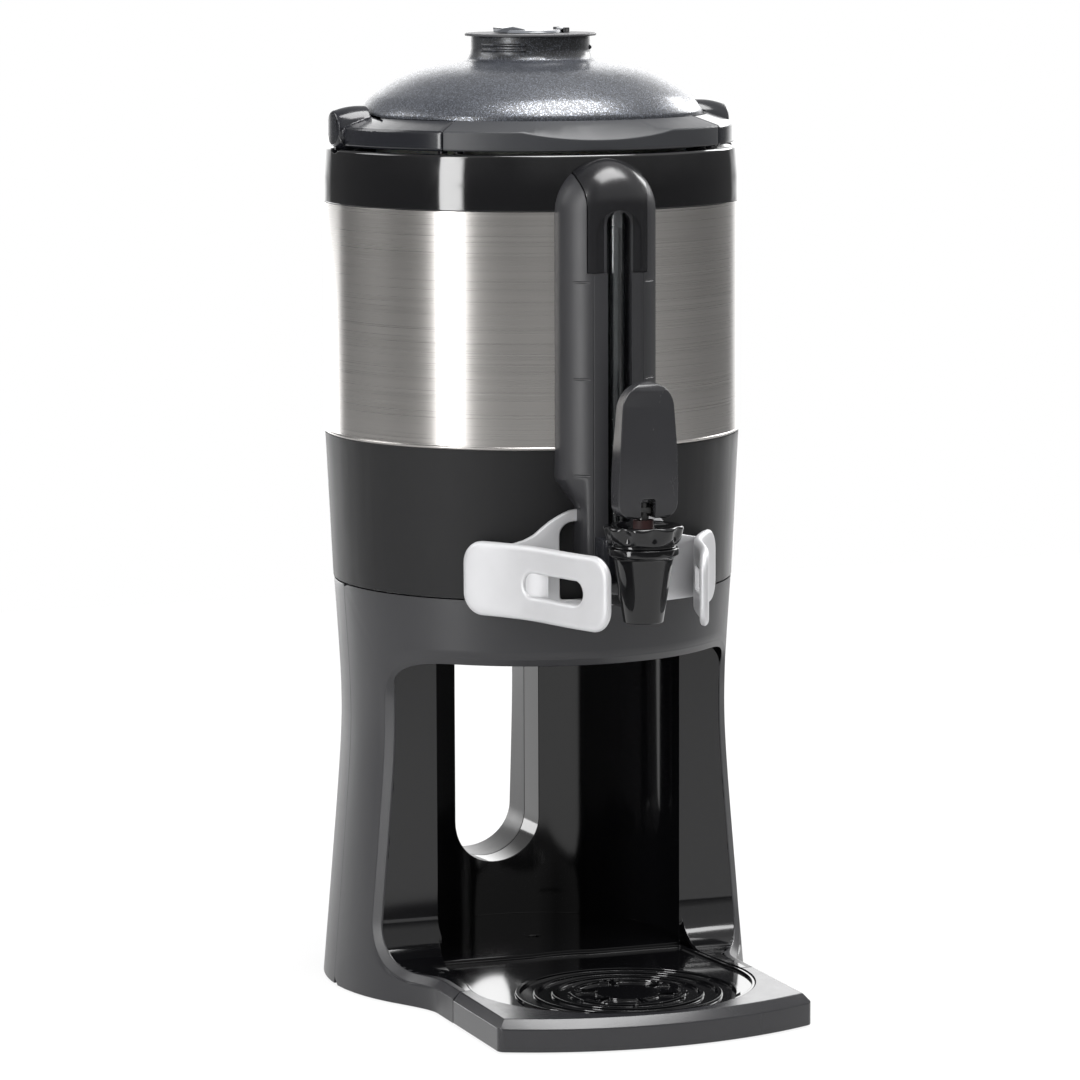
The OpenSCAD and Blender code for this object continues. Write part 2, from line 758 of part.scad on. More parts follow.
module at_spout() {
    translate([0, -spout_y, 0]) children();
}

module faucet_body() color("#1d1b1e") difference() {
    union() {
        at_spout() rotate_extrude() polygon([
            [0, spout_z], [10.4, spout_z], [10.9, spout_z + 0.6], [16.4, 262], [18.6, 263.4], [19.2, 264.2],
            [19.2, 267.6], [17.4, 268.4], [17.4, bonnet_z0], [0, bonnet_z0]]);
        along_y(-165, -130.6) translate([0, shank_z]) circle(r = 11.4);
    }
    at_spout() rotate_extrude() polygon([
        [0, spout_z - 1], [8, spout_z - 1], [7, 232], [5.6, 234.4], [5.6, 235], [9.4, 236.4], [11, 241],
        [11, 252],
        [14.2, 256], [14.2, bonnet_z0 + 1], [0, bonnet_z0 + 1]]);
    gauge_passage();
    along_y(-spout_y, -151) translate([0, shank_z]) circle(r = outlet_bore);
    along_y(-151, -120) translate([0, shank_z]) circle(r = 9.55);
}

module faucet_bonnet() color("#26262a") difference() {
    at_spout() {
        difference() {
            translate([0, 0, bonnet_z0]) union() {
                cylinder(r = 19, h = bonnet_z1 - bonnet_z0 - 1.2);
                for (i = [0 : bonnet_lobes - 1]) rotate(360 * i / bonnet_lobes + 19.5) translate([16.2, 0, 0])
                    cylinder(r = 5.7, h = bonnet_z1 - bonnet_z0 - 1.9, $fn = 32);
                cylinder(r = 18.4, h = bonnet_z1 - bonnet_z0);
            }
            // Dished top around the valve stem.
            translate([0, 0, bonnet_z1 - 1.6]) cylinder(r1 = 9, r2 = 15.5, h = 1.6 + eps);
            translate([0, 0, bonnet_z0 - 1]) cylinder(r = 14.2, h = 5.2);
            cylinder(r = 3.1, h = far);
        }
    }
}

module stem_seal() color("#8e1f1f") at_spout() ring(5.6, 3.1, bonnet_z1 - 1.6, lever_foot_z - 0.3);

// Wire swept along a helix.
module coil(r, wire, z0, z1, turns) {
    sides = 8;
    per_turn = 18;
    n = turns * per_turn;
    points = [for (i = [0 : n]) let (a = 360 * i / per_turn, z = z0 + (z1 - z0) * i / n)
        for (k = [0 : sides - 1]) let (b = 360 * k / sides)
            [(r + wire * cos(b)) * cos(a), (r + wire * cos(b)) * sin(a), z + wire * sin(b)]];
    skin = [for (i = [0 : n - 1], k = [0 : sides - 1]) let (m = (k + 1) % sides)
        [i * sides + k, i * sides + m, (i + 1) * sides + m, (i + 1) * sides + k]];
    polyhedron(points, concat(
        [[for (k = [0 : sides - 1]) k]], skin, [[for (k = [sides - 1 : -1 : 0]) n * sides + k]]));
}

module valve_spring() color("#c9c9c9") at_spout() coil(6.6, 0.55, 250.7, 272.9, 5);

module valve_stem() color("#d9d6cf") at_spout() difference() {
    union() {
        translate([0, 0, 240]) cylinder(r = 3, h = stem_top_z - 240);
        translate([0, 0, 246]) cylinder(r = 5, h = 2);
        along_x(-3.4, 3.4) translate([0, lever_pivot_z]) circle(r = 3.2);
    }
    along_x(-5, 5) translate([0, lever_pivot_z]) circle(r = lever_pin_r);
}

module seat_cup() color("#d8d4c8") at_spout() rotate_extrude() polygon([
    [0, 234.9], [5, 234.9], [8.2, 236.1], [8.2, 250], [5.05, 250], [5.05, 245.95], [3.02, 245.95],
    [3.02, 239.95],
    [0, 239.95]]);

module lever_pin() color("#c9c9c9") at_spout() along_x(-9, 9) translate([0, lever_pivot_z])
    circle(r = lever_pin_r);

// Outline of the lever's paddle as seen from the front.
module lever_outline() {
    polygon(concat(
        arc([0, 343], 15, 180, 0, 16),
        [[16.4, 322], [17.2, 302]],
        arc([9.2, 292], 8, 0, -90, 6),
        arc([-9.2, 292], 8, -90, -180, 6),
        [[-17.2, 302], [-16.4, 322]]));
}

module faucet_lever() color("#3d3d41") difference() {
    intersection() {
        translate([0, -spout_y - 2.5, 0]) along_y(-7, 7) lever_outline();
        // Side profile: slim at the top, a round foot at the bottom.
        along_x(-30, 30) polygon(concat(
            arc([-spout_y + 3.6, lever_foot_z + 2.4], 2.4, 0, -90, 5),
            arc([-spout_y - 5.4, lever_foot_z + 2.4], 2.4, -90, -180, 5),
            [[-spout_y - 8.4, 296], [-spout_y - 9.4, 320], [-spout_y - 8.6, 344]],
            arc([-spout_y - 4.2, 353], 5, 180, 0, 8),
            [[-spout_y + 2.4, 344], [-spout_y + 3.8, 320], [-spout_y + 5.2, 300]]));
    }
    // Fork for the valve stem.
    translate([-3.9, -spout_y - 20, 270]) cube([7.8, 40, 24.4]);
    along_x(-9.3, 9.3) translate([-spout_y, lever_pivot_z]) circle(r = lever_pin_r + fit_gap);
}

// ---- guard ----

// Plan of one wing's middle line, from its tail at the body to its tip.
function wing_line() = concat(
    [[72.6, -94], [66, -99.4], [58, -105]],
    arc([51, -119.5], 10.6, 66, 172, 7) ,
    [[40.4, -126], [40.1, -140], [39.4, -152]],
    arc([21.5, -153.5], 17.6, 8, -60, 8) + [for (i = [0 : 8]) [0, -17 * i / 8]],
    [[25.2, -186.6]]);

// Band of a given width along a line of points.
function band(line, w) = let (
    n = len(line) - 1,
    side = [for (i = [0 : n]) let (d = line[min(i + 1, n)] - line[max(i - 1, 0)])
        w / 2 * [-d[1], d[0]] / norm(d)])
    concat([for (i = [0 : n]) line[i] + side[i]], [for (i = [n : -1 : 0]) line[i] - side[i]]);

module wing() {
    difference() {
        intersection() {
            translate([0, 0, guard_z0]) linear_extrude(guard_z1 - guard_z0) union() {
                polygon(band(wing_line(), wing_t));
                for (p = [wing_line()[0], wing_line()[len(wing_line()) - 1]])
                    translate(p) circle(r = wing_t / 2, $fn = 32);
            }
            along_x(10, 90) round_rect([-189.5, guard_z0], [-80, guard_z1], 11);
            along_y(-200, -80) round_rect([-75.2, guard_z0], [75.2, guard_z1], 9);
        }
        along_x(30, 47) round_rect([-170, 237], [-124, 251], 6.9);
        // Bevelled back end of the slot.
        along_x(30, 50) round_rect([-130, 238.5], [-114, 249.5], 5.4);
    }
}

module guard_plate() {
    intersection() {
        ring(guard_plate_r + guard_plate_t, guard_plate_r, 220, 300);
        along_y(-140, -60) difference() {
            union() {
                round_rect([-52, 228.6], [52, guard_z1 - 1], 3);
                translate([0, arch_top_z - 22]) circle(r = 22);
                polygon([[-46, guard_z1 - 2], [-40.2, 270.2], [-33.6, 276], [-22, arch_top_z - 4],
                    [22, arch_top_z - 4], [33.6, 276], [40.2, 270.2], [46, guard_z1 - 2]]);
                round_rect([-26, 262], [26, arch_top_z], 10);
            }
            round_rect([-arch_hole_w, 253], [arch_hole_w, arch_hole_z], 8);
            translate([-arch_hole_w, arch_hole_z0]) square([2 * arch_hole_w, 30]);
            for (s = [-1, 1]) translate([s * guard_screw_x, guard_screw_z]) circle(r = 1.9);
        }
    }
}

module faucet_guard() color("#d6d8da") union() {
    both_sides() wing();
    guard_plate();
}

module guard_screws() color("#b9bbbe") for (s = [-1, 1])
    translate([s * guard_screw_x, 0, guard_screw_z]) {
    along_y(-119.4, -103) circle(r = 1.85);
    along_y(-120.6, -117.6) circle(r = 3.4);
}

// ---- sight gauge ----

// Half of the column's plan, front to back.
function column_plan(o) = [
    [0, -column_y - o], [channel_w, -column_y + 0.2 - o], [14.3, -137.2 - o],
    [18.6 + 0.4 * o, -134.2 - 0.8 * o],
    [21.9 + 0.6 * o, -130.8 - 0.6 * o], [27 + o, -124.5], [column_w + o, -119.8], [column_w + o, -100]];

function mirror_plan(p) = concat(p, [for (i = [len(p) - 1 : -1 : 1]) [-p[i][0], p[i][1]]]);

module column_form(o) {
    intersection() {
        translate([0, 0, column_z0]) linear_extrude(column_z1 - column_z0 + o)
            polygon(mirror_plan(column_plan(o)));
        along_y(-160, -90) round_rect([-column_w - o, 200], [column_w + o, column_z1 + o],
            column_w + o - 0.4);
        along_y(-160, -90) polygon([
            [-column_low_w, column_z0], [-column_low_w, column_bend[0]], [-column_w - o, column_bend[1]],
            [-column_w - o, 520], [column_w + o, 520], [column_w + o, column_bend[1]],
            [column_low_w, column_bend[0]], [column_low_w, column_z0]]);
        along_x(-60, 60) polygon(concat(
            [[-90, column_z0], [-160, column_z0], [-160, column_z1 - column_top_r],
            [-column_y - o, column_z1 - column_top_r]],
            arc([-column_y + column_top_r, column_z1 - column_top_r], column_top_r + o, 180, 90, 14),
            [[-90, column_z1 + o]]));
    }
}

// Space taken by the urn behind the column.
module body_space() {
    translate([0, 0, jacket_z0 - 4]) cylinder(r = collar_foot_r + 0.3, h = 200);
    shroud_form(0.5, seam_z, jacket_z0 - 3);
    ring(guard_plate_r + guard_plate_t + 0.5, 60, arch_hole_z - 1.5, arch_top_z + 1.5);
}

module gauge_housing() color("#303034") difference() {
    column_form(0);
    body_space();
    // Channel for the sight tube.
    translate([-channel_w, -160, column_z0 - 1])
        cube([2 * channel_w, 160 - channel_back, channel_z1 - column_z0 + 1]);
    // Seat of the cap.
    difference() {
        cap_block(0.3, 0.2);
        column_form(-cap_t);
    }
    // Room for the nut and the washer.
    along_y(-160, -100) translate([0, shank_z]) circle(r = 14.4);
    // Seat of the fitting.
    translate([-14.2, -160, column_z0 - 1]) cube([28.4, 160 - 127.8, fitting_z1 - column_z0 + 1.2]);
    // Engraved level marks beside the channel.
    for (z = tick_heights, s = [-1, 1]) translate([s * 18.4, -135.4, z]) rotate(s * 39)
        cube([9.5, 1.6, 1.1], center = true);
    // Grooves that frame the front face.
    for (s = [-1, 1]) translate([s * 14.5, -137.2, column_z0 - 1])
        cylinder(r = 0.45, h = cap_z0 - column_z0, $fn = 24);
}

// Space of the cap as seen from the front, grown by o and started dz lower.
module cap_block(o, dz) {
    along_y(-160, -118) polygon([
        [-cap_w - o, cap_z0 - dz], [-cap_w - o, 455], [-cap_top_w - o, 464], [-cap_top_w - o, 520],
        [cap_top_w + o, 520], [cap_top_w + o, 464], [cap_w + o, 455], [cap_w + o, cap_z0 - dz]]);
}

module gauge_cap() color("#19191c") difference() {
    intersection() {
        column_form(cap_proud);
        cap_block(0, 0);
    }
    column_form(-cap_t + 0.2);
    along_y(-160, -120) {
        translate([-cap_slot_w, cap_z0 - 1]) square([2 * cap_slot_w, cap_arch_z + 4 - cap_z0]);
        translate([0, cap_arch_z + 3]) circle(r = cap_slot_w);
    }
    // Pocket over the tube's plug.
    translate([-6, -138.8, tube_z1 - 4]) cube([12, 20, 8]);
    // The arch above the tube stands proud of the two legs.
    along_y(-160, -column_y + 1.1) difference() {
        translate([-cap_w - 1, cap_z0 - 1]) square([2 * cap_w + 2, cap_arch_z - cap_z0 + 12]);
        translate([-cap_w - 1, cap_arch_z]) square([2 * cap_w + 2, 30]);
    }
    along_y(-160, -column_y + 1.1) translate([0, cap_arch_z]) circle(r = cap_arch_r);
}

module gauge_fitting() color("#26262a") difference() {
    intersection() {
        translate([-14, -153, 250]) cube([28, 25, fitting_z1 - 250]);
        translate([0, 0, 240]) linear_extrude(40) round_rect([-14, -153], [14, -110], 3);
    }
    translate([0, -tube_y, tube_z0 - 0.02]) cylinder(r = tube_r + fit_gap, h = 20);
    gauge_passage();
    along_y(-160, -120) translate([0, shank_z]) circle(r = 11.45);
    along_y(-130.8, -120) translate([0, shank_z]) circle(r = 14);
    at_spout() translate([0, 0, 250]) cylinder(r = 22, h = 30);
}

module sight_tube() color("#9fb2bd", 0.5) translate([0, -tube_y, 0])
    ring(tube_r, tube_r - tube_wall, tube_z0, tube_z1);

module tube_plug() color("#d8d4c8") translate([0, -tube_y, 0]) difference() {
    union() {
        translate([0, 0, plug_z0]) cylinder(r = tube_r - tube_wall - 0.02, h = tube_z1 - plug_z0);
        translate([0, 0, tube_z1]) cylinder(r = tube_r, h = 2.4);
    }
    translate([0, 0, plug_z0 - 1]) cylinder(r = 1, h = 20);
}

// ---- lid ----

// Half section of the dome's outside, from the rim to the neck.
function dome_line() = [
    [dome_r, 479.5], [dome_r, 495.4], [dome_r - 0.8, 497.2], [94.6, 500], [91.3, 504], [86.1, 507.8],
    [80.9, 511.1],
    [75, 514.4], [68.6, 517.4], [60.4, 520.3], [51, 522.3], [42, 523.5], [38, 524], [35.6, 525.4],
    [34.2, 528],
    [neck_r, 531], [neck_r, neck_z]];

module lid_dome() color("#34363b") {
    outside = dome_line();
    inside = [for (p = outside)
        [p[0] - dome_t, p[0] > dome_r - 1 ? p[1] : p[1] - (p[1] < neck_z ? dome_t * 0.8 : 0)]];
    rotate_extrude() polygon(concat(outside, [for (i = [len(inside) - 1 : -1 : 0]) inside[i]]));
    // Ramps and lug that lock the brewer's adapter.
    intersection() {
        for (z = [530.6, 533.6]) rotate_extrude() translate([neck_r - 0.3, z]) circle(r = 0.9, $fn = 16);
        union() {
            wedge(-75, -25, 520, 545);
            wedge(105, 155, 520, 545);
        }
    }
    intersection() {
        rotate_extrude() translate([neck_r - 0.3, 531.8]) circle(r = 1.4, $fn = 16);
        wedge(60, 76, 520, 545);
    }
}

module lid_liner() color("#26262a") difference() {
    union() {
        ring(dome_r - dome_t - 0.3, 30, 479.05, 481.5);
        ring(70.5, 68, 452, 480);
        ring(70.5, 13.2, 452, 454.4);
    }
}

module lid_gasket() color("#b9b4a8") ring(88, 77, ledge_z + 0.02, 479.03);

module brew_stem() color("#1e1e21") difference() {
    union() {
        rotate_extrude() polygon([
            [stem_bore, stem_z0], [stem_r, stem_z0], [stem_r, 512], [hopper_r + 1.6, 534],
            [hopper_r + 1.6, neck_z],
            [flange_r, neck_z + 0.1], [flange_r, neck_z + flange_t - 0.3],
            [flange_r - 0.5, neck_z + flange_t],
            [hopper_r, neck_z + flange_t], [hopper_r, 534], [stem_bore, 512]]);
        // Throat plate with the flap's hinge ears.
        rotate_extrude() polygon([
            [16, neck_z + flange_t - 1.4], [hopper_r + 0.5, neck_z + flange_t - 1.4],
            [hopper_r + 0.5, neck_z + flange_t],
            [16, neck_z + flange_t]]);
        for (s = [-1, 1]) translate([flap_hinge_x - 1.6, s * 8 - 1.2, neck_z + flange_t - eps])
            cube([3.2, 2.4, 3]);
    }
    translate([flap_hinge_x, 20, flap_hinge_z]) rotate([90, 0, 0]) cylinder(r = 0.9 + fit_gap, h = 40);
}

module tube_grommet() color("#b9b4a8") ring(13.1, stem_r + 0.1, 450.6, 456);

module flap_pin() color("#c9c9c9") translate([flap_hinge_x, 9.4, flap_hinge_z]) rotate([90, 0, 0])
    cylinder(r = 0.9, h = 18.8);

module stem_flap() color("#5a5c60") difference() {
    union() {
        translate([0, 0, neck_z + flange_t + 0.25]) cylinder(r1 = flap_r - 1, r2 = flap_r - 2.5, h = 1.4);
        // Thumb tab.
        intersection() {
            along_y(-7, 7) polygon([
                [-flap_r - 2.6, neck_z + flange_t + 0.4], [-flap_r - 1, 542.6], [-13, 543.4], [-6, 541.9],
                [-4, neck_z + flange_t + 0.4]]);
            cylinder(r = flap_r + 2.2, h = far * 2);
        }
        // Knuckle.
        translate([flap_hinge_x, 6.4, flap_hinge_z]) rotate([90, 0, 0]) cylinder(r = 1.2, h = 12.8);
        translate([12, -6.4, neck_z + flange_t + 0.3]) cube([6.6, 12.8, 1.2]);
    }
    translate([flap_hinge_x, 20, flap_hinge_z]) rotate([90, 0, 0]) cylinder(r = 0.9 + fit_gap, h = 40);
    difference() {
        translate([flap_hinge_x - 3, -20, neck_z]) cube([20, 40, 10]);
        translate([flap_hinge_x - 4, -6.4, neck_z]) cube([20, 12.8, 10]);
    }
}

// ---- handle ----

// Path of the collar's lug through the knuckle while the handle swings up.
module lug_sweep() {
    along_x(lug_x0 - slide_gap, lug_x1 + slide_gap) translate([0, pivot_z]) {
        circle(r = lug_half + slide_gap);
        a = asin((lug_half + slide_gap) / ear_r) + 2;
        polygon(concat([[0, 0]], arc([0, 0], ear_r + 6, -90 - a, handle_swing - 90 + a, 24)));
        rotate(0) translate([-lug_half - slide_gap, -ear_r - 4])
            square([2 * (lug_half + slide_gap), ear_r + 4]);
        translate([0, -lug_half - slide_gap]) square([ear_r + 4, 2 * (lug_half + slide_gap)]);
    }
}

module handle_arm_right() color("#2f2f33") difference() {
    union() {
        intersection() {
            rotate_extrude() ring_section();
            wedge(grip_half_angle, 90, 470, 520);
        }
        intersection() {
            along_x(ring_r_in + 0.2, jacket_r + 0.8) translate([0, pivot_z]) circle(r = ear_r);
            cylinder(r = jacket_r + 0.4, h = far * 2);
        }
    }
    lug_sweep();
    along_x(ring_r_in, 112.6) translate([0, pivot_z]) circle(r = pin_r + fit_gap);
    // Blind holes for the grip's screws.
    rotate(grip_half_angle + 2) translate([0, -107, 470]) cylinder(r = 1.5, h = 18);
}

module handle_arm_left() mirror([1, 0, 0]) handle_arm_right();

module handle_grip() color("#333337") difference() {
    intersection() {
        rotate_extrude() ring_section();
        wedge(-grip_half_angle + 0.12, grip_half_angle - 0.12, 470, 520);
    }
    // Finger scoop in the front top edge.
    translate([0, -scoop_y, scoop_z]) rotate([scoop_slope, 0, 0]) difference() {
        translate([-70, -24, -18]) cube([140, 60, 50]);
        translate([0, 50, -scoop_r]) rotate([90, 0, 0]) cylinder(r = scoop_r, h = 100);
    }
    for (s = [-1, 1]) rotate(s * (grip_half_angle - 3)) translate([0, -107, 470]) cylinder(r = 1.5, h = 18);
}

module grip_screws() color("#b9bbbe") for (s = [-1, 1], a = [grip_half_angle - 3, grip_half_angle + 2])
    rotate(s * a) translate([0, -107, ring_z0 - 1.6]) {
        cylinder(r = 2.6, h = 1.6);
        cylinder(r = 1.45, h = 9);
    }

module pivot_pins() color("#c9c9c9") both_sides() along_x(ring_r_in + 0.8, 112.4)
    translate([0, pivot_z]) circle(r = pin_r);

// ---- nodes ----

base_front_shell();
base_rear_shell();
bay_liner();
bottom_plate();
rubber_feet();
plate_screws();
top_deck();
deck_screws();
tray_frame();
drip_tray();
bottom_cover();
lower_shroud();
steel_jacket();
top_collar();
rear_rim();
rim_screws();
vessel_outer();
vessel_bottom();
vessel_wall();
vessel_shoulder();
vessel_seat();
outlet_elbow();
faucet_shank();
shank_washer();
shank_nut();
faucet_body();
faucet_bonnet();
stem_seal();
valve_spring();
valve_stem();
seat_cup();
lever_pin();
faucet_lever();
faucet_guard();
guard_screws();
gauge_housing();
gauge_cap();
gauge_fitting();
sight_tube();
tube_plug();
lid_dome();
lid_liner();
lid_gasket();
brew_stem();
tube_grommet();
stem_flap();
flap_pin();
handle_arm_left();
handle_arm_right();
handle_grip();
grip_screws();
pivot_pins();
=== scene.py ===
"""Insulated coffee urn on its stand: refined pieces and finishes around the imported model."""
import logging
import math
from dataclasses import dataclass
from enum import Enum
from typing import Sequence

import bmesh
import bpy
from mathutils import Matrix, Vector


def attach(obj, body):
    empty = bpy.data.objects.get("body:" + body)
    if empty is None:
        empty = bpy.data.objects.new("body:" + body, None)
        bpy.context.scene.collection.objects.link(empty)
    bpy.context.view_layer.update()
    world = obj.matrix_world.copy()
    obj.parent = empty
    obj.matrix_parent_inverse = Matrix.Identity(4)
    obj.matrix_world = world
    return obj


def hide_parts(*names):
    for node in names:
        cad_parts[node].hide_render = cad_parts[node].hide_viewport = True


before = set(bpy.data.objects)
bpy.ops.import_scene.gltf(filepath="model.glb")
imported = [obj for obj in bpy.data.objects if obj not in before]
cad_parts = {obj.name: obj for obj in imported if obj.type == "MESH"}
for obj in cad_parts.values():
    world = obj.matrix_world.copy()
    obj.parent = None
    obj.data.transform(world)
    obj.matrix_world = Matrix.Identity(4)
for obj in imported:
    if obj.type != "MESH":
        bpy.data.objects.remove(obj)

log = logging.getLogger("coffee_urn")
MM = 0.001
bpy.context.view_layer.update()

Point = tuple[float, float, float]
Flat = tuple[float, float]
Colour = tuple[float, float, float]


class Body(Enum):
    """The CAD bodies that pieces move with."""

    URN = "urn_and_stand"
    LID = "lid"
    FLAP = "flap"
    HANDLE = "handle"
    LEVER = "lever"
    TRAY = "tray"


class Slot(Enum):
    """The record's material slots, named for each piece as it is fitted but not read."""

    SHELL = "shell_plastic"
    GLOSS = "gloss_black"
    JACKET = "jacket_steel"
    HANDLE = "handle_plastic"
    GUARD = "guard_metal"
    TUBE = "clear_tube"
    LID = "lid_plastic"
    INNER = "inner_plastic"


# ---- shader maths ----

class Socket:
    """A shader node's output that Python expressions can work on."""

    def __init__(self, surface: "Surface", port: bpy.types.NodeSocket) -> None:
        """Keeps the tree and the output socket."""
        self.surface = surface
        self.port = port

    def __add__(self, other: "Socket | float") -> "Socket":
        """Sum."""
        return self.surface.math("ADD", self, other)

    def __radd__(self, other: float) -> "Socket":
        """Sum, with a number in front."""
        return self.surface.math("ADD", other, self)

    def __sub__(self, other: "Socket | float") -> "Socket":
        """Difference."""
        return self.surface.math("SUBTRACT", self, other)

    def __rsub__(self, other: float) -> "Socket":
        """Difference from a number."""
        return self.surface.math("SUBTRACT", other, self)

    def __mul__(self, other: "Socket | float") -> "Socket":
        """Product."""
        return self.surface.math("MULTIPLY", self, other)

    def __rmul__(self, other: float) -> "Socket":
        """Product, with a number in front."""
        return self.surface.math("MULTIPLY", other, self)

    def __gt__(self, other: "Socket | float") -> "Socket":
        """1 where this is greater, else 0."""
        return self.surface.math("GREATER_THAN", self, other)

    def clamp(self) -> "Socket":
        """The value held between 0 and 1."""
        return self.surface.math("ADD", self, 0.0, clamp=True)


@dataclass(frozen=True)
class Grain:
    """A noise pattern: features per metre, octaves, and the weight of the fine ones."""

    scale: float
    detail: float = 2.0
    roughness: float = 0.5


class Surface:
    """The node tree of one material or of the world."""

    def __init__(self, owner: bpy.types.Material | bpy.types.World) -> None:
        """Empties the owner's tree.

        Args:
            owner: the material or world whose nodes are written.
        """
        owner.use_nodes = True
        self.owner = owner
        self.tree = owner.node_tree
        self.tree.nodes.clear()

    def node(self, kind: str, settings: dict | None = None, sockets: dict | None = None,
             output: int | str = 0) -> Socket:
        """Adds one node.

        Args:
            kind: the node's type name without its ShaderNode prefix.
            settings: properties that are set first; "stops" fills a colour ramp.
            sockets: values or links for the inputs, by name or index.
            output: which output the returned socket stands for.

        Returns:
            The chosen output.
        """
        made = self.tree.nodes.new("ShaderNode" + kind)
        for key, value in (settings or {}).items():
            if key == "stops":
                ramp = made.color_ramp
                while len(ramp.elements) < len(value):
                    ramp.elements.new(1.0)
                for element, (place, tint) in zip(ramp.elements, value):
                    element.position = place
                    element.color = (*tint, 1.0)
            else:
                setattr(made, key, value)
        for key, value in (sockets or {}).items():
            port = made.inputs[key]
            if isinstance(value, Socket):
                self.tree.links.new(value.port, port)
            elif isinstance(value, tuple) and len(value) == 3 and port.type == "RGBA":
                port.default_value = (*value, 1.0)
            else:
                port.default_value = value
        return Socket(self, made.outputs[output])

    def math(self, operation: str, a: "Socket | float", b: "Socket | float" = 0.0,
             clamp: bool = False) -> Socket:
        """Adds a Math node on two values.

        Args:
            operation: the Math node's operation.
            a: first value.
            b: second value.
            clamp: whether the result is held between 0 and 1.

        Returns:
            The result.
        """
        return self.node("Math", {"operation": operation, "use_clamp": clamp}, {0: a, 1: b})

    def tint(self, share: "Socket | float", a: "Socket | Colour", b: "Socket | Colour") -> Socket:
        """Mixes two colours by a share of the second."""
        return self.node("Mix", {"data_type": "RGBA"}, {0: share, 6: a, 7: b}, output=2)

    def stretch(self, vector: Socket, factors: Point) -> Socket:
        """Multiplies a vector by one factor per axis."""
        return self.node("VectorMath", {"operation": "MULTIPLY"}, {0: vector, 1: factors})

    def axis(self, vector: Socket, name: str) -> Socket:
        """One axis of a vector."""
        return self.node("SeparateXYZ", None, {"Vector": vector}, output=name)

    def grey(self, colour: Socket) -> Socket:
        """The brightness of a colour."""
        return self.node("RGBToBW", None, {"Color": colour})

    def climb(self, value: Socket, ends: Flat, top: float = 1.0) -> Socket:
        """A smooth climb from 0 at the first end to top at the second."""
        return self.node("MapRange", {"interpolation_type": "SMOOTHSTEP"},
                         {"Value": value, "From Min": ends[0], "From Max": ends[1], "To Max": top})

    def place(self) -> Socket:
        """The object's own coordinates, in metres."""
        return self.node("TexCoord", output="Object")

    def noise(self, vector: Socket, grain: Grain) -> Socket:
        """Noise between 0 and 1, read at a vector."""
        return self.node("TexNoise", None, {"Vector": vector, "Scale": grain.scale, "Detail": grain.detail,
                                            "Roughness": grain.roughness})

    def relief(self, height: Socket, depth: float) -> Socket:
        """The normal of a height map that is depth metres deep."""
        return self.node("Bump", None, {"Height": height, "Distance": depth})

    def body(self, **sockets: "Socket | float | Colour") -> Socket:
        """Adds the Principled shader, its inputs named with underscores for spaces."""
        return self.node("BsdfPrincipled", None, {k.replace("_", " "): v for k, v in sockets.items()})

    def finish(self, shader: Socket) -> None:
        """Links a shader to the tree's output."""
        kind = "OutputWorld" if isinstance(self.owner, bpy.types.World) else "OutputMaterial"
        out = self.tree.nodes.new("ShaderNode" + kind)
        self.tree.links.new(shader.port, out.inputs["Surface"])


# ---- finishes ----

def tone(colour: Colour, factor: float, lift: float = 0.0) -> Colour:
    """A colour made brighter or darker, held at 1."""
    return tuple(min(c * factor + lift, 1.0) for c in colour)


@dataclass(frozen=True)
class Finish:
    """A finish that a material is made from once and then shared."""

    name: str
    colour: Colour

    def paint(self, surface: Surface) -> Socket:
        """Writes the finish's nodes and returns its shader."""
        raise NotImplementedError

    def varied(self, surface: Surface, share: Socket, by: float) -> Socket:
        """The colour, from darker to brighter by one amount as a share goes from 0 to 1."""
        return surface.tint(share, tone(self.colour, 1 - by), tone(self.colour, 1 + by))

    def material(self) -> bpy.types.Material:
        """Finds this finish's material, or makes it the first time.

        Returns:
            The material.
        """
        found = bpy.data.materials.get(self.name)
        if found is None:
            found = bpy.data.materials.new(self.name)
            surface = Surface(found)
            surface.finish(self.paint(surface))
        return found

    def dress(self, piece: bpy.types.Object) -> None:
        """Makes this the only material of a piece.

        Args:
            piece: the object.
        """
        if piece.material_slots:
            for held in piece.material_slots:
                held.material = self.material()
        else:
            piece.data.materials.append(self.material())


@dataclass(frozen=True)
class Moulding(Finish):
    """Moulded plastic with a cloudy tone, a textured skin and fine handling marks."""

    roughness: float = 0.4
    specular: float = 0.5
    index: float = 1.48
    sheen: float = 0.0
    sheen_roughness: float = 0.32
    cloud: Grain = Grain(18.0, 4.0)
    mottle: float = 0.12
    pores: Grain = Grain(2600.0, 2.0, 0.6)
    grain: float = 1.0e-5
    speck: float = 0.25
    speck_tone: float = 1.5
    rubs: Grain = Grain(90.0, 6.0, 0.7)
    rub_way: Point = (1.0, 1.0, 0.35)
    scuff: float = 0.06

    def paint(self, surface: Surface) -> Socket:
        """Writes the moulding's nodes.

        Args:
            surface: the tree to write in.

        Returns:
            The shader.
        """
        place = surface.place()
        cloud = surface.noise(place, self.cloud)
        skin = surface.noise(place, self.pores)
        rubbed = surface.noise(surface.stretch(place, self.rub_way), self.rubs)
        colour = self.varied(surface, cloud, self.mottle)
        colour = surface.tint(skin * self.speck, colour, tone(self.colour, self.speck_tone))
        rough = self.roughness + (rubbed - 0.5) * self.scuff * 2 + (cloud - 0.5) * self.scuff
        return surface.body(Base_Color=colour, Roughness=rough.clamp(), IOR=self.index,
                            Specular_IOR_Level=self.specular, Sheen_Weight=self.sheen,
                            Sheen_Roughness=self.sheen_roughness, Normal=surface.relief(skin, self.grain))


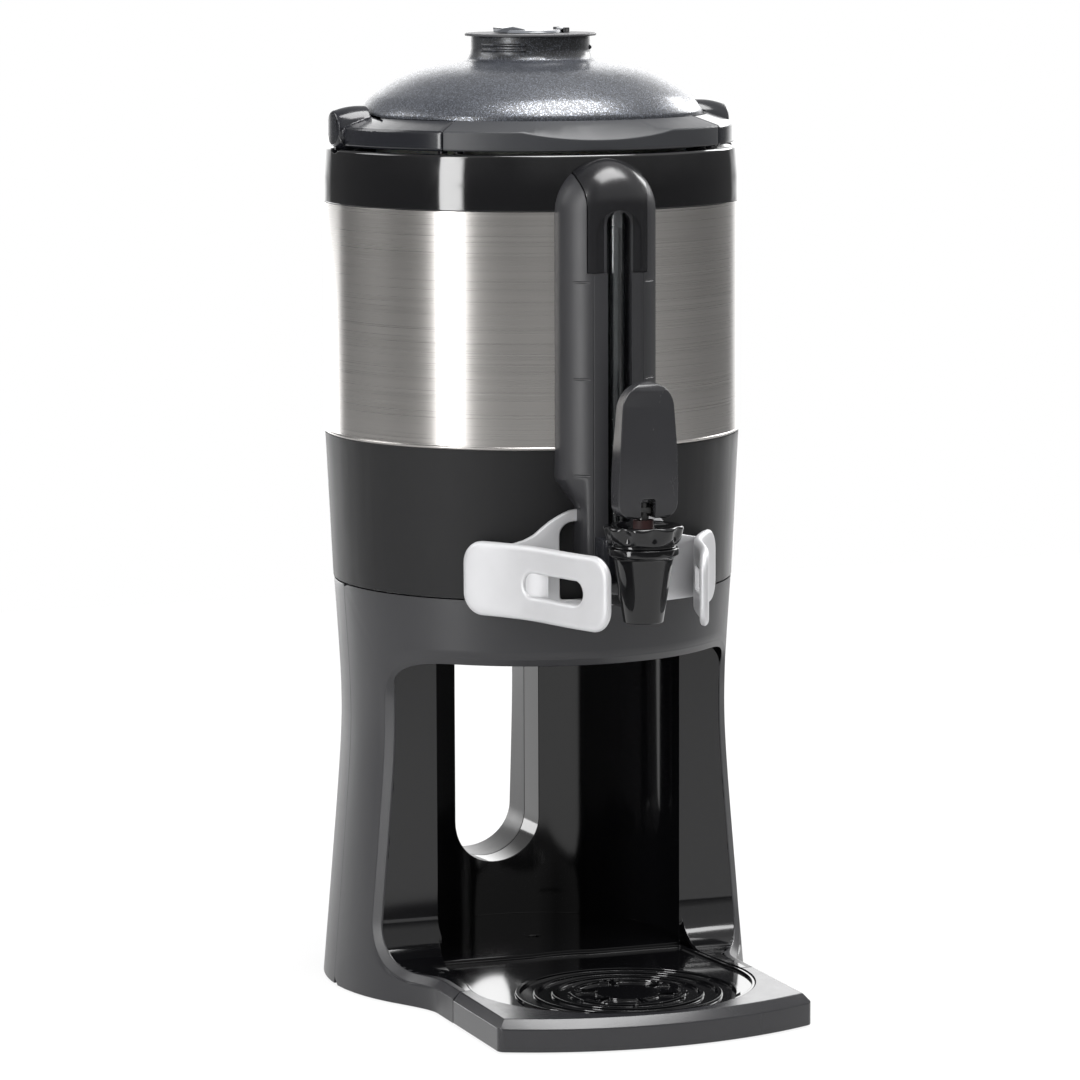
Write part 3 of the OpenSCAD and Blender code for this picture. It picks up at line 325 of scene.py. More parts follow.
@dataclass(frozen=True)
class Flaked(Finish):
    """Plastic with fine metallic flakes under a satin skin, plainer and darker on the neck."""

    flake: Colour = (0.20, 0.215, 0.25)
    flake_scale: float = 1900.0
    flake_stops: tuple[tuple[float, Colour], ...] = (
        (0.0, (0, 0, 0)), (0.72, (0.02, 0.02, 0.02)), (0.94, (1, 1, 1)))
    flake_metal: float = 0.85
    dust_scale: float = 3990.0
    dust_share: float = 0.82
    dust: float = 0.4
    cloud: Grain = Grain(30.0, 3.0)
    mottle: float = 0.15
    roughness: float = 0.36
    flake_smooth: float = 0.1
    neck: Flat = (0.5245, 0.5275)
    neck_tone: float = 0.25
    neck_plain: float = 0.6
    coat: float = 0.15
    coat_roughness: float = 0.14
    depth: float = 5.0e-6

    def paint(self, surface: Surface) -> Socket:
        """Writes the flaked plastic's nodes.

        Args:
            surface: the tree to write in.

        Returns:
            The shader.
        """
        place = surface.place()
        flakes = self.cells(surface, place, self.flake_scale, "Red")
        fine = self.cells(surface, place, self.dust_scale, "Green")
        mask = surface.grey(surface.node("ValToRGB", {"stops": self.flake_stops}, {"Fac": flakes}))
        shine = (mask + (fine > self.dust_share) * self.dust).clamp()
        base = self.varied(surface, surface.noise(place, self.cloud), self.mottle)
        neck = surface.climb(surface.axis(place, "Z"), self.neck)
        base = surface.tint(neck, base, tone(self.colour, self.neck_tone))
        shine = shine * (1 - neck * self.neck_plain)
        colour = surface.tint(shine, base, self.flake)
        rough = self.roughness - shine * self.flake_smooth
        return surface.body(Base_Color=colour, Metallic=shine * self.flake_metal, Roughness=rough.clamp(),
                            Coat_Weight=self.coat, Coat_Roughness=self.coat_roughness,
                            Normal=surface.relief(fine, self.depth))

    def cells(self, surface: Surface, place: Socket, scale: float, channel: str) -> Socket:
        """One random value per cell of a Voronoi pattern."""
        cells = surface.node("TexVoronoi", None, {"Vector": place, "Scale": scale}, output="Color")
        return surface.node("SeparateColor", None, {"Color": cells}, output=channel)


@dataclass(frozen=True)
class Brushed(Finish):
    """Metal with fine straight scratches around the body."""

    roughness: float = 0.26
    scratch: Point = (6.0, 6.0, 5200.0)
    scratches: Grain = Grain(1.0, 3.0, 0.6)
    coarse: Grain = Grain(1.0, 2.0)
    coarse_share: float = 0.22
    cloud: Grain = Grain(12.0, 3.0)
    cloud_share: float = 0.2
    cloud_tone: float = 0.9
    scratch_rough: float = 0.12
    coarse_rough: float = 0.08
    depth: float = 2.5e-6
    streak: float = 0.10
    anisotropy: float = 0.0
    rotation: float = 0.25

    def paint(self, surface: Surface) -> Socket:
        """Writes the brushed metal's nodes.

        Args:
            surface: the tree to write in.

        Returns:
            The shader.
        """
        place = surface.place()
        lines = surface.noise(surface.stretch(place, self.scratch), self.scratches)
        wide = tuple(g * self.coarse_share for g in self.scratch)
        coarse = surface.noise(surface.stretch(place, wide), self.coarse)
        cloud = surface.noise(place, self.cloud)
        colour = self.varied(surface, lines, self.streak)
        colour = surface.tint(cloud * self.cloud_share, colour, tone(self.colour, self.cloud_tone))
        rough = self.roughness + (lines - 0.5) * self.scratch_rough + (coarse - 0.5) * self.coarse_rough
        return surface.body(Base_Color=colour, Metallic=1.0, Roughness=rough.clamp(),
                            Anisotropic=self.anisotropy, Anisotropic_Rotation=self.rotation,
                            Normal=surface.relief(lines, self.depth))


@dataclass(frozen=True)
class Polished(Finish):
    """Plated or satin metal with a soft grain."""

    roughness: float = 0.22
    metallic: float = 1.0
    skin: Grain = Grain(1500.0, 3.0, 0.6)
    skin_rough: float = 0.12
    cloud: Grain = Grain(60.0, 4.0)
    cloud_rough: float = 0.08
    tones: Flat = (0.93, 1.05)
    depth: float = 4.0e-6

    def paint(self, surface: Surface) -> Socket:
        """Writes the metal's nodes.

        Args:
            surface: the tree to write in.

        Returns:
            The shader.
        """
        place = surface.place()
        skin = surface.noise(place, self.skin)
        cloud = surface.noise(place, self.cloud)
        colour = surface.tint(cloud, tone(self.colour, self.tones[0]), tone(self.colour, self.tones[1]))
        rough = self.roughness + (skin - 0.5) * self.skin_rough + (cloud - 0.5) * self.cloud_rough
        return surface.body(Base_Color=colour, Metallic=self.metallic, Roughness=rough.clamp(),
                            Normal=surface.relief(skin, self.depth))


@dataclass(frozen=True)
class Clear(Finish):
    """Clear tube with faint haze."""

    index: float = 1.47
    haze: Grain = Grain(220.0, 4.0)
    haze_rough: float = 0.04
    depth: float = 2.0e-7

    def paint(self, surface: Surface) -> Socket:
        """Writes the clear tube's nodes.

        Args:
            surface: the tree to write in.

        Returns:
            The shader.
        """
        haze = surface.noise(surface.place(), self.haze)
        return surface.body(Base_Color=self.colour, Roughness=(haze * self.haze_rough).clamp(),
                            IOR=self.index, Transmission_Weight=1.0, Normal=surface.relief(haze, self.depth))


@dataclass(frozen=True)
class Soft(Finish):
    """Rubber or silicone with a dusty bloom."""

    roughness: float = 0.7
    subsurface: float = 0.0
    bloom: Grain = Grain(140.0, 5.0, 0.65)
    bloom_share: float = 0.5
    bloom_tone: Flat = (1.6, 0.01)
    bloom_rough: float = 0.2
    depth: float = 2.0e-5

    def paint(self, surface: Surface) -> Socket:
        """Writes the rubber's nodes.

        Args:
            surface: the tree to write in.

        Returns:
            The shader.
        """
        bloom = surface.noise(surface.place(), self.bloom)
        colour = surface.tint(bloom * self.bloom_share, self.colour, tone(self.colour, *self.bloom_tone))
        rough = self.roughness + (bloom - 0.5) * self.bloom_rough
        return surface.body(Base_Color=colour, Roughness=rough.clamp(), Subsurface_Weight=self.subsurface,
                            Normal=surface.relief(bloom, self.depth))


SHELL = Moulding("satin_charcoal_shell", (0.016, 0.016, 0.018), roughness=0.37, grain=1.2e-5)
SHROUD = Moulding("satin_black_shroud", (0.004, 0.004, 0.0045), roughness=0.60, sheen=0.28,
                  specular=0.30, grain=8e-6)
TRAY_FRAME = Moulding("smooth_charcoal_frame", (0.014, 0.014, 0.016), roughness=0.24, grain=4e-6)
GLOSS = Moulding("deep_gloss_black", (0.003, 0.003, 0.0035), roughness=0.09, grain=5e-7, scuff=0.02,
                 mottle=0.05)
POLISHED_BLACK = Moulding("polished_black", (0.003, 0.003, 0.0035), roughness=0.08, specular=0.78,
                          grain=5e-7, scuff=0.02, mottle=0.05)
COLUMN = Moulding("satin_black_column", (0.016, 0.016, 0.018), roughness=0.42, grain=6e-6)
CAP = Moulding("glossy_black_cap", (0.007, 0.007, 0.008), roughness=0.24, grain=3e-6)
HANDLE = Moulding("satin_black_handle", (0.010, 0.0105, 0.013), roughness=0.17, grain=2e-6)
LEVER = Moulding("satin_black_lever", (0.020, 0.020, 0.022), roughness=0.26, grain=6e-6)
FLAP = Moulding("grey_flap", (0.10, 0.105, 0.115), roughness=0.22, grain=2e-6)
GRIP = Moulding("matte_charcoal_grip", (0.020, 0.021, 0.024), roughness=0.46, grain=1.2e-5)
LID = Flaked("flaked_charcoal_lid", (0.020, 0.0215, 0.026))
JACKET = Brushed("brushed_jacket", (0.43, 0.415, 0.40), roughness=0.29, anisotropy=0.7)
VESSEL = Brushed("drawn_vessel", (0.62, 0.62, 0.61), roughness=0.22, streak=0.05)
GUARD = Polished("satin_guard", (0.50, 0.50, 0.51), roughness=0.50, metallic=0.55)
PLATED = Polished("plated_steel", (0.66, 0.66, 0.66), roughness=0.16)
# blacked steel for the grip screws; the lever pin takes it as painted shade in the lever's slot
BLACKED_AND_SLOT_SHADE = Polished("blacked_steel_and_painted_shade", (0.035, 0.035, 0.038), roughness=0.35)
# the valve stem's colour is darkened as painted shade for the dark slot of the lever
SLOT_SHADE_STEM = Brushed("stem_darkened_as_painted_shade", (0.09, 0.09, 0.09), roughness=0.34, streak=0.05)
TUBE = Clear("clear_acrylic", (0.72, 0.74, 0.75))
RUBBER = Soft("black_rubber", (0.012, 0.012, 0.012))
RED = Soft("red_seal", (0.022, 0.0025, 0.0025), roughness=0.6)
SILICONE = Soft("pale_silicone", (0.58, 0.56, 0.51), roughness=0.45, subsurface=0.1)
INNER = Moulding("inner_moulding", (0.035, 0.035, 0.038), roughness=0.5, grain=1.5e-5)


# ---- meshes ----

CAD_WELD = 2e-6  # metres under which points of a CAD form merge
CAD_FLAT = math.radians(0.6)  # facets of a CAD form that turn less than this become one


class Skin:
    """Points and faces gathered for one mesh, in millimetres."""

    weld: float = 1e-4 * MM

    def __init__(self) -> None:
        """Starts empty."""
        self.points: list[Point] = []
        self.faces: list[tuple[int, ...]] = []

    def row(self, points: Sequence[Sequence[float]]) -> list[int]:
        """Adds a row of points and returns their numbers."""
        first = len(self.points)
        self.points.extend(tuple(float(c) for c in p) for p in points)
        return list(range(first, len(self.points)))

    def bridge(self, a: Sequence[int], b: Sequence[int]) -> None:
        """Joins two closed rows of the same length with quads."""
        for i in range(len(a)):
            j = (i + 1) % len(a)
            self.faces.append((a[i], a[j], b[j], b[i]))

    def loft(self, rows: Sequence[Sequence[Sequence[float]]], ring: bool = False) -> None:
        """Adds closed rows and joins each to the next.

        Args:
            rows: rows of points, all of one length.
            ring: whether the last row joins the first; otherwise a face closes each of them.
        """
        made = [self.row(r) for r in rows]
        for a, b in zip(made, made[1:]):
            self.bridge(a, b)
        if ring:
            self.bridge(made[-1], made[0])
        else:
            self.faces += [tuple(reversed(made[0])), tuple(made[-1])]

    def rod(self, radius: float, z0: float, z1: float, centre: Flat = (0.0, 0.0), sides: int = 16) -> None:
        """Adds an upright round rod.

        Args:
            radius: its radius.
            z0: its lower end.
            z1: its upper end.
            centre: where its axis stands.
            sides: segments around it.
        """
        section = [(0.0, z0), (radius, z0), (radius, z1), (0.0, z1)]
        rows = []
        for i in range(sides):
            a = math.radians(360 * i / sides)
            rows.append([(centre[0] + r * math.sin(a), centre[1] - r * math.cos(a), z) for r, z in section])
        self.loft(rows, ring=True)

    def mirror(self) -> None:
        """Adds the same faces on the other side of the plane X = 0."""
        first = len(self.points)
        self.points.extend([(-x, y, z) for x, y, z in self.points])
        self.faces.extend([tuple(i + first for i in reversed(f)) for f in list(self.faces)])

    def build(self, name: str, sharp: float = 35.0) -> bpy.types.Object:
        """Makes the object.

        Args:
            name: its name.
            sharp: angle in degrees above which an edge stays sharp.

        Returns:
            The object, in metres.
        """
        mesh = bpy.data.meshes.new(name)
        bm = bmesh.new()
        verts = [bm.verts.new([c * MM for c in p]) for p in self.points]
        for face in self.faces:
            bm.faces.new([verts[i] for i in face])
        bmesh.ops.remove_doubles(bm, verts=bm.verts, dist=self.weld)
        bmesh.ops.dissolve_degenerate(bm, dist=self.weld, edges=bm.edges)
        bmesh.ops.recalc_face_normals(bm, faces=bm.faces)
        bm.to_mesh(mesh)
        bm.free()
        return make_object(name, mesh, sharp)


def shade(mesh: bpy.types.Mesh, sharp: float) -> None:
    """Shades a mesh smooth, apart from the edges that turn more than an angle in degrees."""
    mesh.shade_smooth()
    mesh.set_sharp_from_angle(angle=math.radians(sharp))


def make_object(name: str, mesh: bpy.types.Mesh, sharp: float = 35.0) -> bpy.types.Object:
    """Shades a mesh and makes its object.

    Args:
        name: the object's name.
        mesh: the mesh.
        sharp: angle in degrees above which an edge stays sharp.

    Returns:
        The object.
    """
    shade(mesh, sharp)
    made = bpy.data.objects.new(name, mesh)
    bpy.context.scene.collection.objects.link(made)
    return made


def applied(piece: bpy.types.Object) -> bpy.types.Mesh:
    """Puts a piece's modifiers into its mesh.

    Args:
        piece: the object.

    Returns:
        Its new mesh.
    """
    depsgraph = bpy.context.evaluated_depsgraph_get()
    mesh = bpy.data.meshes.new_from_object(piece.evaluated_get(depsgraph))
    piece.modifiers.clear()
    piece.data = mesh
    return mesh


def settle(piece: bpy.types.Object, sharp: float = 40.0) -> bpy.types.Object:
    """Applies a piece's modifiers and shades it so that broad faces keep their own normals.

    Args:
        piece: the object.
        sharp: angle in degrees above which an edge stays sharp.

    Returns:
        The same object.
    """
    shade(applied(piece), sharp)
    weighing = piece.modifiers.new("broad_faces", "WEIGHTED_NORMAL")
    weighing.mode = "FACE_AREA"
    weighing.weight = 80
    weighing.keep_sharp = True
    applied(piece)
    return piece


def round_edges(piece: bpy.types.Object, width: float, angle: float = 32.0,
                clamp: bool = False) -> bpy.types.Object:
    """Rounds the sharp edges of a piece.

    Args:
        piece: the object.
        width: width of the round, in millimetres.
        angle: edges that turn more than this are rounded.
        clamp: whether rounds are kept from meeting.

    Returns:
        The same object.
    """
    bevel = piece.modifiers.new("round_edges", "BEVEL")
    bevel.width = width * MM
    bevel.segments = 2
    bevel.limit_method = "ANGLE"
    bevel.angle_limit = math.radians(angle)
    bevel.use_clamp_overlap = clamp
    bevel.miter_outer = "MITER_ARC"
    return settle(piece)


def softened(node: str, width: float) -> bpy.types.Object:
    """A copy of a CAD node's form with rounded edges.

    Args:
        node: the CAD node.
        width: width of the rounds, in millimetres.

    Returns:
        The new piece.
    """
    bm = bmesh.new()
    bm.from_mesh(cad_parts[node].data)
    bmesh.ops.remove_doubles(bm, verts=bm.verts, dist=CAD_WELD)
    bmesh.ops.dissolve_limit(bm, angle_limit=CAD_FLAT, verts=bm.verts, edges=bm.edges)
    mesh = bpy.data.meshes.new(node + "_piece")
    bm.to_mesh(mesh)
    bm.free()
    for name in ("custom_normal", "sharp_edge", "sharp_face"):
        if mesh.attributes.get(name):
            mesh.attributes.remove(mesh.attributes[name])
    return round_edges(make_object(node + "_piece", mesh), width)


def fit(piece: bpy.types.Object, body: Body, slot: Slot, finish: Finish, *nodes: str) -> None:
    """Dresses a piece and ties it to the model.

    Args:
        piece: the object.
        body: the CAD body that it moves with.
        slot: the record's material slot; not used.
        finish: its finish.
        nodes: the CAD nodes that it stands for.
    """
    finish.dress(piece)
    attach(piece, body.value)
    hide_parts(*nodes)
    log.info("%s: %d faces on %s", piece.name, len(piece.data.polygons), body.value)


# ---- lines ----

TINY = 1e-9


def mix(a: float, b: float, share: float) -> float:
    """A number between two others."""
    return a + (b - a) * share


def ease(low: float, high: float, value: float) -> float:
    """0 below low, 1 above high and smooth between them."""
    t = min(max((value - low) / (high - low), 0.0), 1.0)
    return t * t * (3 - 2 * t)


def smooth_max(a: float, b: float, width: float) -> float:
    """The greater of two numbers, blended where they are closer than width."""
    h = max(width - abs(a - b), 0.0) / width
    return max(a, b) + h * h * width / 4


def distances(line: Sequence[Vector]) -> list[float]:
    """Measures along a line.

    Args:
        line: its points.

    Returns:
        The distance from its start at each point.
    """
    out = [0.0]
    for a, b in zip(line, line[1:]):
        out.append(out[-1] + (b - a).length)
    return out


def spread(points: Sequence[Sequence[float]], count: int) -> list[Vector]:
    """Places points at equal distances along a line.

    Args:
        points: the line's points.
        count: how many to place.

    Returns:
        The placed points.
    """
    line = [Vector(p) for p in points]
    lengths = distances(line)
    out = []
    k = 0
    for i in range(count):
        goal = lengths[-1] * i / (count - 1)
        while k < len(line) - 2 and lengths[k + 1] < goal:
            k += 1
        span = lengths[k + 1] - lengths[k]
        out.append(line[k].lerp(line[k + 1], (goal - lengths[k]) / span if span else 0.0))
    return out


def relaxed(line: Sequence[Vector], passes: int) -> list[Vector]:
    """Softens the bends of a line and keeps its ends.

    Args:
        line: its points.
        passes: how often each point moves towards its neighbours.

    Returns:
        The new points.
    """
    points = list(line)
    for _ in range(passes):
        middle = [(a + 2 * b + c) / 4 for a, b, c in zip(points, points[1:], points[2:])]
        points = [points[0]] + middle + [points[-1]]
    return points


def arc(centre: Flat, radius: float, start: float, end: float, steps: int) -> list[Flat]:
    """Points of an arc.

    Args:
        centre: its centre.
        radius: its radius.
        start: first angle in degrees.
        end: last angle in degrees.
        steps: segments.

    Returns:
        The points.
    """
    angles = [math.radians(mix(start, end, i / steps)) for i in range(steps + 1)]
    return [(centre[0] + radius * math.cos(a), centre[1] + radius * math.sin(a)) for a in angles]


def mirrored(half: Sequence[Flat]) -> list[Flat]:
    """The left half of an outline whose right half is given, run back the other way."""
    return [(-x, z) for x, z in reversed(half)]


def cast(outline: Sequence[Flat], centre: Flat, angle: float) -> Vector:
    """Where a ray from a centre leaves a closed outline.

    Args:
        outline: the outline's corners.
        centre: where the ray starts.
        angle: its direction in radians.

    Returns:
        The crossing point.
    """
    way = Vector((math.cos(angle), math.sin(angle)))
    origin = Vector(centre)
    best = 0.0
    for i, a in enumerate(outline):
        a = Vector(a) - origin
        side = Vector(outline[(i + 1) % len(outline)]) - origin - a
        turn = way.x * side.y - way.y * side.x
        if abs(turn) < TINY:
            continue
        reach = (a.x * side.y - a.y * side.x) / turn
        share = (a.x * way.y - a.y * way.x) / turn
        if -TINY <= share <= 1 + TINY and reach > best:
            best = reach
    return origin + way * best


def crossing(rim: Vector, hole: Vector, near: Sequence[float], flank: int = 0,
             most: float = 0.45) -> list[tuple[Vector, float]]:
    """Points from an outline to the edge of a hole in it, close together near both.

    Args:
        rim: point of the outline.
        hole: point of the hole's edge.
        near: distances from either end at which points stand.
        flank: how many more stand between them.
        most: share of the way that the near points of one end may take.

    Returns:
        The points, each with its distance from the end that it was set out from.
    """
    span = (hole - rim).length
    steps = [min(d, span * most) for d in near]
    middle = [mix(steps[-1], span - steps[-1], i / (flank + 1)) for i in range(1, flank + 1)]
    out = [(rim.lerp(hole, d / span), d) for d in steps + middle]
    return out + [(hole.lerp(rim, d / span), d) for d in reversed(steps)]


# ---- sub-assemblies, in millimetres ----

@dataclass
class FrontShell:
    """Front shell: an arched opening whose rim runs down the posts and out along the wings."""

    waist_r: float = 110.0
    waist_z: float = 158.0
    waist_blend: float = 25.0
    flare_low: float = 0.087
    flare_up: float = 0.071
    z0: float = 1.0
    z1: float = 231.1
    wall: float = 3.0
    wing_x: float = 91.5
    wing_blend: float = 14.0
    wing_end: float = -119.2
    wing_top: float = 18.5
    wing_reach_z: float = 100.0
    wing_fade: float = 20.0
    post_y: float = -43.0
    post_z: float = 90.0
    sweep_r: float = 27.0
    top_sweep_r: float = 18.0
    arch_z: float = 194.0
    arch_corner: float = 20.0
    arch_half: float = 104.0
    arch_fade: float = 30.0
    knee_drop: float = 14.0
    knee_x: float = 60.0
    rim_out: float = 4.2
    rim_in: float = 2.9
    wing_rim_in: float = 4.2
    wing_lip: float = 2.95
    lip_back: float = 0.6
    lip_depth: float = 2.4
    rim_round: float = 0.55
    seam_angle: float = 89.9
    seam_from: float = 89.0
    wing_points: int = 16
    sweep_points: int = 20
    post_step: float = 3.0
    fine_step: float = 1.5
    fine_z: float = 170.0
    arch_points: int = 59
    upper_points: int = 96
    upper_passes: int = 24
    rim_steps: int = 3
    wall_steps: int = 14
    margin: float = 1.0
    tolerance: float = 0.01

    @property
    def foot_y(self) -> float:
        """Depth where the wing meets the sweep."""
        return self.post_y - self.sweep_r

    @property
    def foot_z(self) -> float:
        """Height where the sweep meets the post."""
        return self.wing_top + self.sweep_r

    def radius(self, z: float) -> float:
        """Radius of the stand at a height."""
        slope = self.flare_low if z < self.waist_z else self.flare_up
        return self.waist_r + slope * (math.hypot(z - self.waist_z, self.waist_blend) - self.waist_blend)

    def side(self, y: float, z: float, inset: float = 0.0) -> Vector:
        """The point of the right wall at a depth and a height.

        Args:
            y: depth.
            z: height.
            inset: distance inside the wall's outside.

        Returns:
            The point.
        """
        r = self.radius(z) - inset
        x = math.sqrt(max(r * r - y * y, 0.0))
        if z < self.wing_reach_z:
            x = smooth_max(x, self.wing_x - inset, self.wing_blend)
        return Vector((x, y, z))

    def turned(self, angle: float, z: float, inset: float = 0.0) -> Vector:
        """The point of the round wall at an angle from the front, in degrees, and a height."""
        r = self.radius(z) - inset
        a = math.radians(angle)
        return Vector((r * math.sin(a), -r * math.cos(a), z))

    def profile_y(self, z: float) -> float:
        """Profile of the opening's back limit, above the posts' foot.

        Args:
            z: height.

        Returns:
            Its depth there.
        """
        rise = z - (self.arch_z - self.top_sweep_r)
        if rise <= 0:
            return self.post_y
        return self.post_y - self.top_sweep_r + math.sqrt(max(self.top_sweep_r ** 2 - rise * rise, 0.0))

    def arch_top(self, x: float) -> float:
        """Line of the arch.

        Args:
            x: distance from its middle.

        Returns:
            Its height there.
        """
        over = abs(x) - (self.arch_half - self.arch_corner)
        if over <= 0:
            return self.arch_z
        return self.arch_z - self.arch_corner + math.sqrt(max(self.arch_corner ** 2 - over * over, 0.0))

    def rim_line(self) -> list[tuple[Vector, float, float]]:
        """Corner line of the opening, from the wing's end to the arch's middle.

        Returns:
            Points with their share of wing (1 to 0) and their share of arch (0 to 1).
        """
        rows = [self.side(mix(self.wing_end, self.foot_y, i / self.wing_points), self.wing_top)
                for i in range(self.wing_points)]
        for i in range(self.sweep_points):
            a = math.radians(-90 + 90 * i / self.sweep_points)
            rows.append(self.side(self.foot_y + self.sweep_r * math.cos(a),
                                  self.foot_z + self.sweep_r * math.sin(a)))
        z = self.foot_z
        point = self.side(self.profile_y(z), z)
        while self.arch_top(point.x) >= z:
            rows.append(point)
            z += self.fine_step if z > self.fine_z else self.post_step
            point = self.side(self.profile_y(z), z)
        last_x = rows[-1].x
        for i in range(1, self.arch_points + 1):
            x = last_x * (1 - i / self.arch_points)
            height = self.arch_top(x)
            r = self.radius(height)
            rows.append(Vector((x, -math.sqrt(r * r - x * x), height)))
        count = self.wing_points + self.sweep_points
        upper = relaxed(spread(rows[count - 1:], self.upper_points), self.upper_passes)
        out = []
        for p in spread(rows[:count], count)[:-1] + upper:
            low = p.z < self.foot_z + self.margin
            wing = 1 - ease(self.foot_y, self.foot_y + self.wing_fade, p.y) if low else 0.0
            out.append((p, wing, ease(self.arch_z - self.arch_fade, self.arch_z - self.margin, p.z)))
        return out

    def section(self, corner: Vector, ahead: Vector, wing: float, arch: float) -> list[Vector]:
        """Closed section of the shell through one point of the rim.

        Args:
            corner: the rim's corner point.
            ahead: the rim line's direction there.
            wing: share of the wing's proportions.
            arch: share of the arch's directions.

        Returns:
            The section's points.
        """
        far_angle, far_z = self.far_edge(corner)
        inward = Vector((-1, 0, 0)).lerp(Vector((0, 1, 0)), arch).normalized()
        r = math.hypot(corner.x, corner.y)
        normal = Vector((corner.x / r, corner.y / r, 0)).lerp(Vector((1, 0, 0)), wing).normalized()
        along = ahead.normalized()
        out_way = along.cross(normal).normalized()
        face = along.cross(inward).normalized()
        start = corner + out_way * self.rim_out
        end = corner + inward * mix(self.rim_in, self.wing_rim_in, wing)
        lip = end + inward * (self.wing_lip * wing + self.lip_back)
        across = (start - end).normalized()
        points = [lip - face * self.lip_depth, lip]
        points += self.turn_over(end, inward, across) + self.turn_over(start, -across, out_way)
        inner: list[Vector] = []
        start_angle = math.degrees(math.atan2(start.x, -start.y))
        for i in range(1, self.wall_steps + 1):
            share = i / self.wall_steps
            z = mix(start.z, far_z, share)
            if arch > 0 or corner.z > self.post_z:
                angle = mix(start_angle, far_angle, share)
                points.append(self.turned(angle, z))
                inner.append(self.turned(angle, z, self.wall))
            else:
                before_seam = far_angle < self.seam_from
                far_y = -self.radius(far_z) * math.cos(math.radians(far_angle)) if before_seam else 0.0
                y = mix(start.y, far_y, share)
                points.append(self.side(y, z))
                inner.append(self.side(y, z, self.wall))
        return points + inner[::-1]

    def turn_over(self, corner: Vector, before: Vector, after: Vector) -> list[Vector]:
        """A small round over an edge.

        Args:
            corner: the edge's point.
            before: way back along the face before it.
            after: way along the face after it.

        Returns:
            Points of the round.
        """
        shares = [i / self.rim_steps for i in range(self.rim_steps + 1)]
        return [corner + (before * (1 - t) ** 2 + after * t * t) * self.rim_round for t in shares]

    def far_edge(self, corner: Vector) -> Flat:
        """Angle from the front and height of the shell's far edge, seen from a rim point.

        Args:
            corner: the rim's corner point.

        Returns:
            The angle in degrees and the height.
        """
        if corner.z < self.wing_top + self.tolerance and corner.y < self.foot_y + self.tolerance:
            return math.degrees(math.acos(min(-corner.y / self.radius(self.z0), 1.0))), self.z0
        if corner.z < self.foot_z and corner.y < self.post_y - self.tolerance:
            share = (corner.z - self.wing_top) / self.sweep_r
            low_angle = math.degrees(math.acos(-self.foot_y / self.radius(self.z0)))
            if share < 0.5:
                return mix(low_angle, self.seam_angle, share * 2), self.z0
            return self.seam_angle, mix(self.z0, self.foot_z, share * 2 - 1)
        knee = self.arch_z - self.knee_drop
        if corner.z < knee and corner.x > self.knee_x:
            share = max((corner.z - self.foot_z) / (knee - self.foot_z), 0.0)
            return self.seam_angle, mix(self.foot_z, self.z1, share)
        here = math.degrees(math.atan2(corner.x, -corner.y))
        turn = math.degrees(math.acos(-self.post_y / self.radius(knee)))
        return min(max(here / turn, 0.0), 1.0) * self.seam_angle, self.z1

    def build(self) -> bpy.types.Object:
        """Lofts the shell from wing to wing.

        Returns:
            The piece.
        """
        line = self.rim_line()
        rows = []
        for i, (corner, wing, arch) in enumerate(line):
            ahead = line[min(i + 1, len(line) - 1)][0] - line[max(i - 1, 0)][0]
            rows.append([tuple(p) for p in self.section(corner, ahead, wing, arch)])
        rows[-1] = [(0.0, y, z) for _, y, z in rows[-1]]
        skin = Skin()
        skin.loft(rows + [[(-x, y, z) for x, y, z in row] for row in rows[-2::-1]])
        return settle(skin.build("base_front_shell_piece"))


class Ribbon:
    """An upright ribbon over a plan line, read by distance along it, height and depth."""

    def __init__(self, line: Sequence[Vector]) -> None:
        """Keeps the line and the distances along it."""
        self.line = line
        self.steps = distances(line)
        self.length = self.steps[-1]

    def reach(self, y: float) -> float:
        """Distance along the ribbon at which it first passes a depth of the model."""
        return next(t for t, p in zip(self.steps, self.line) if p.y < y)

    def place(self, s: float, z: float, depth: float) -> Point:
        """A point of the model.

        Args:
            s: distance along the ribbon, also a little past its ends.
            z: height.
            depth: distance to its outer side.

        Returns:
            The point.
        """
        last = len(self.line) - 1
        t = min(max(s, 0.0), self.length)
        k = min(int(t / self.length * last), last - 1)
        while k < last - 1 and self.steps[k + 1] < t:
            k += 1
        while k > 0 and self.steps[k] > t:
            k -= 1
        share = (t - self.steps[k]) / (self.steps[k + 1] - self.steps[k])
        ahead = (self.line[min(k + 2, last)] - self.line[max(k - 1, 0)]).normalized()
        here = self.line[k].lerp(self.line[k + 1], share) + ahead * (s - t)
        return here.x - ahead.y * depth, here.y + ahead.x * depth, z


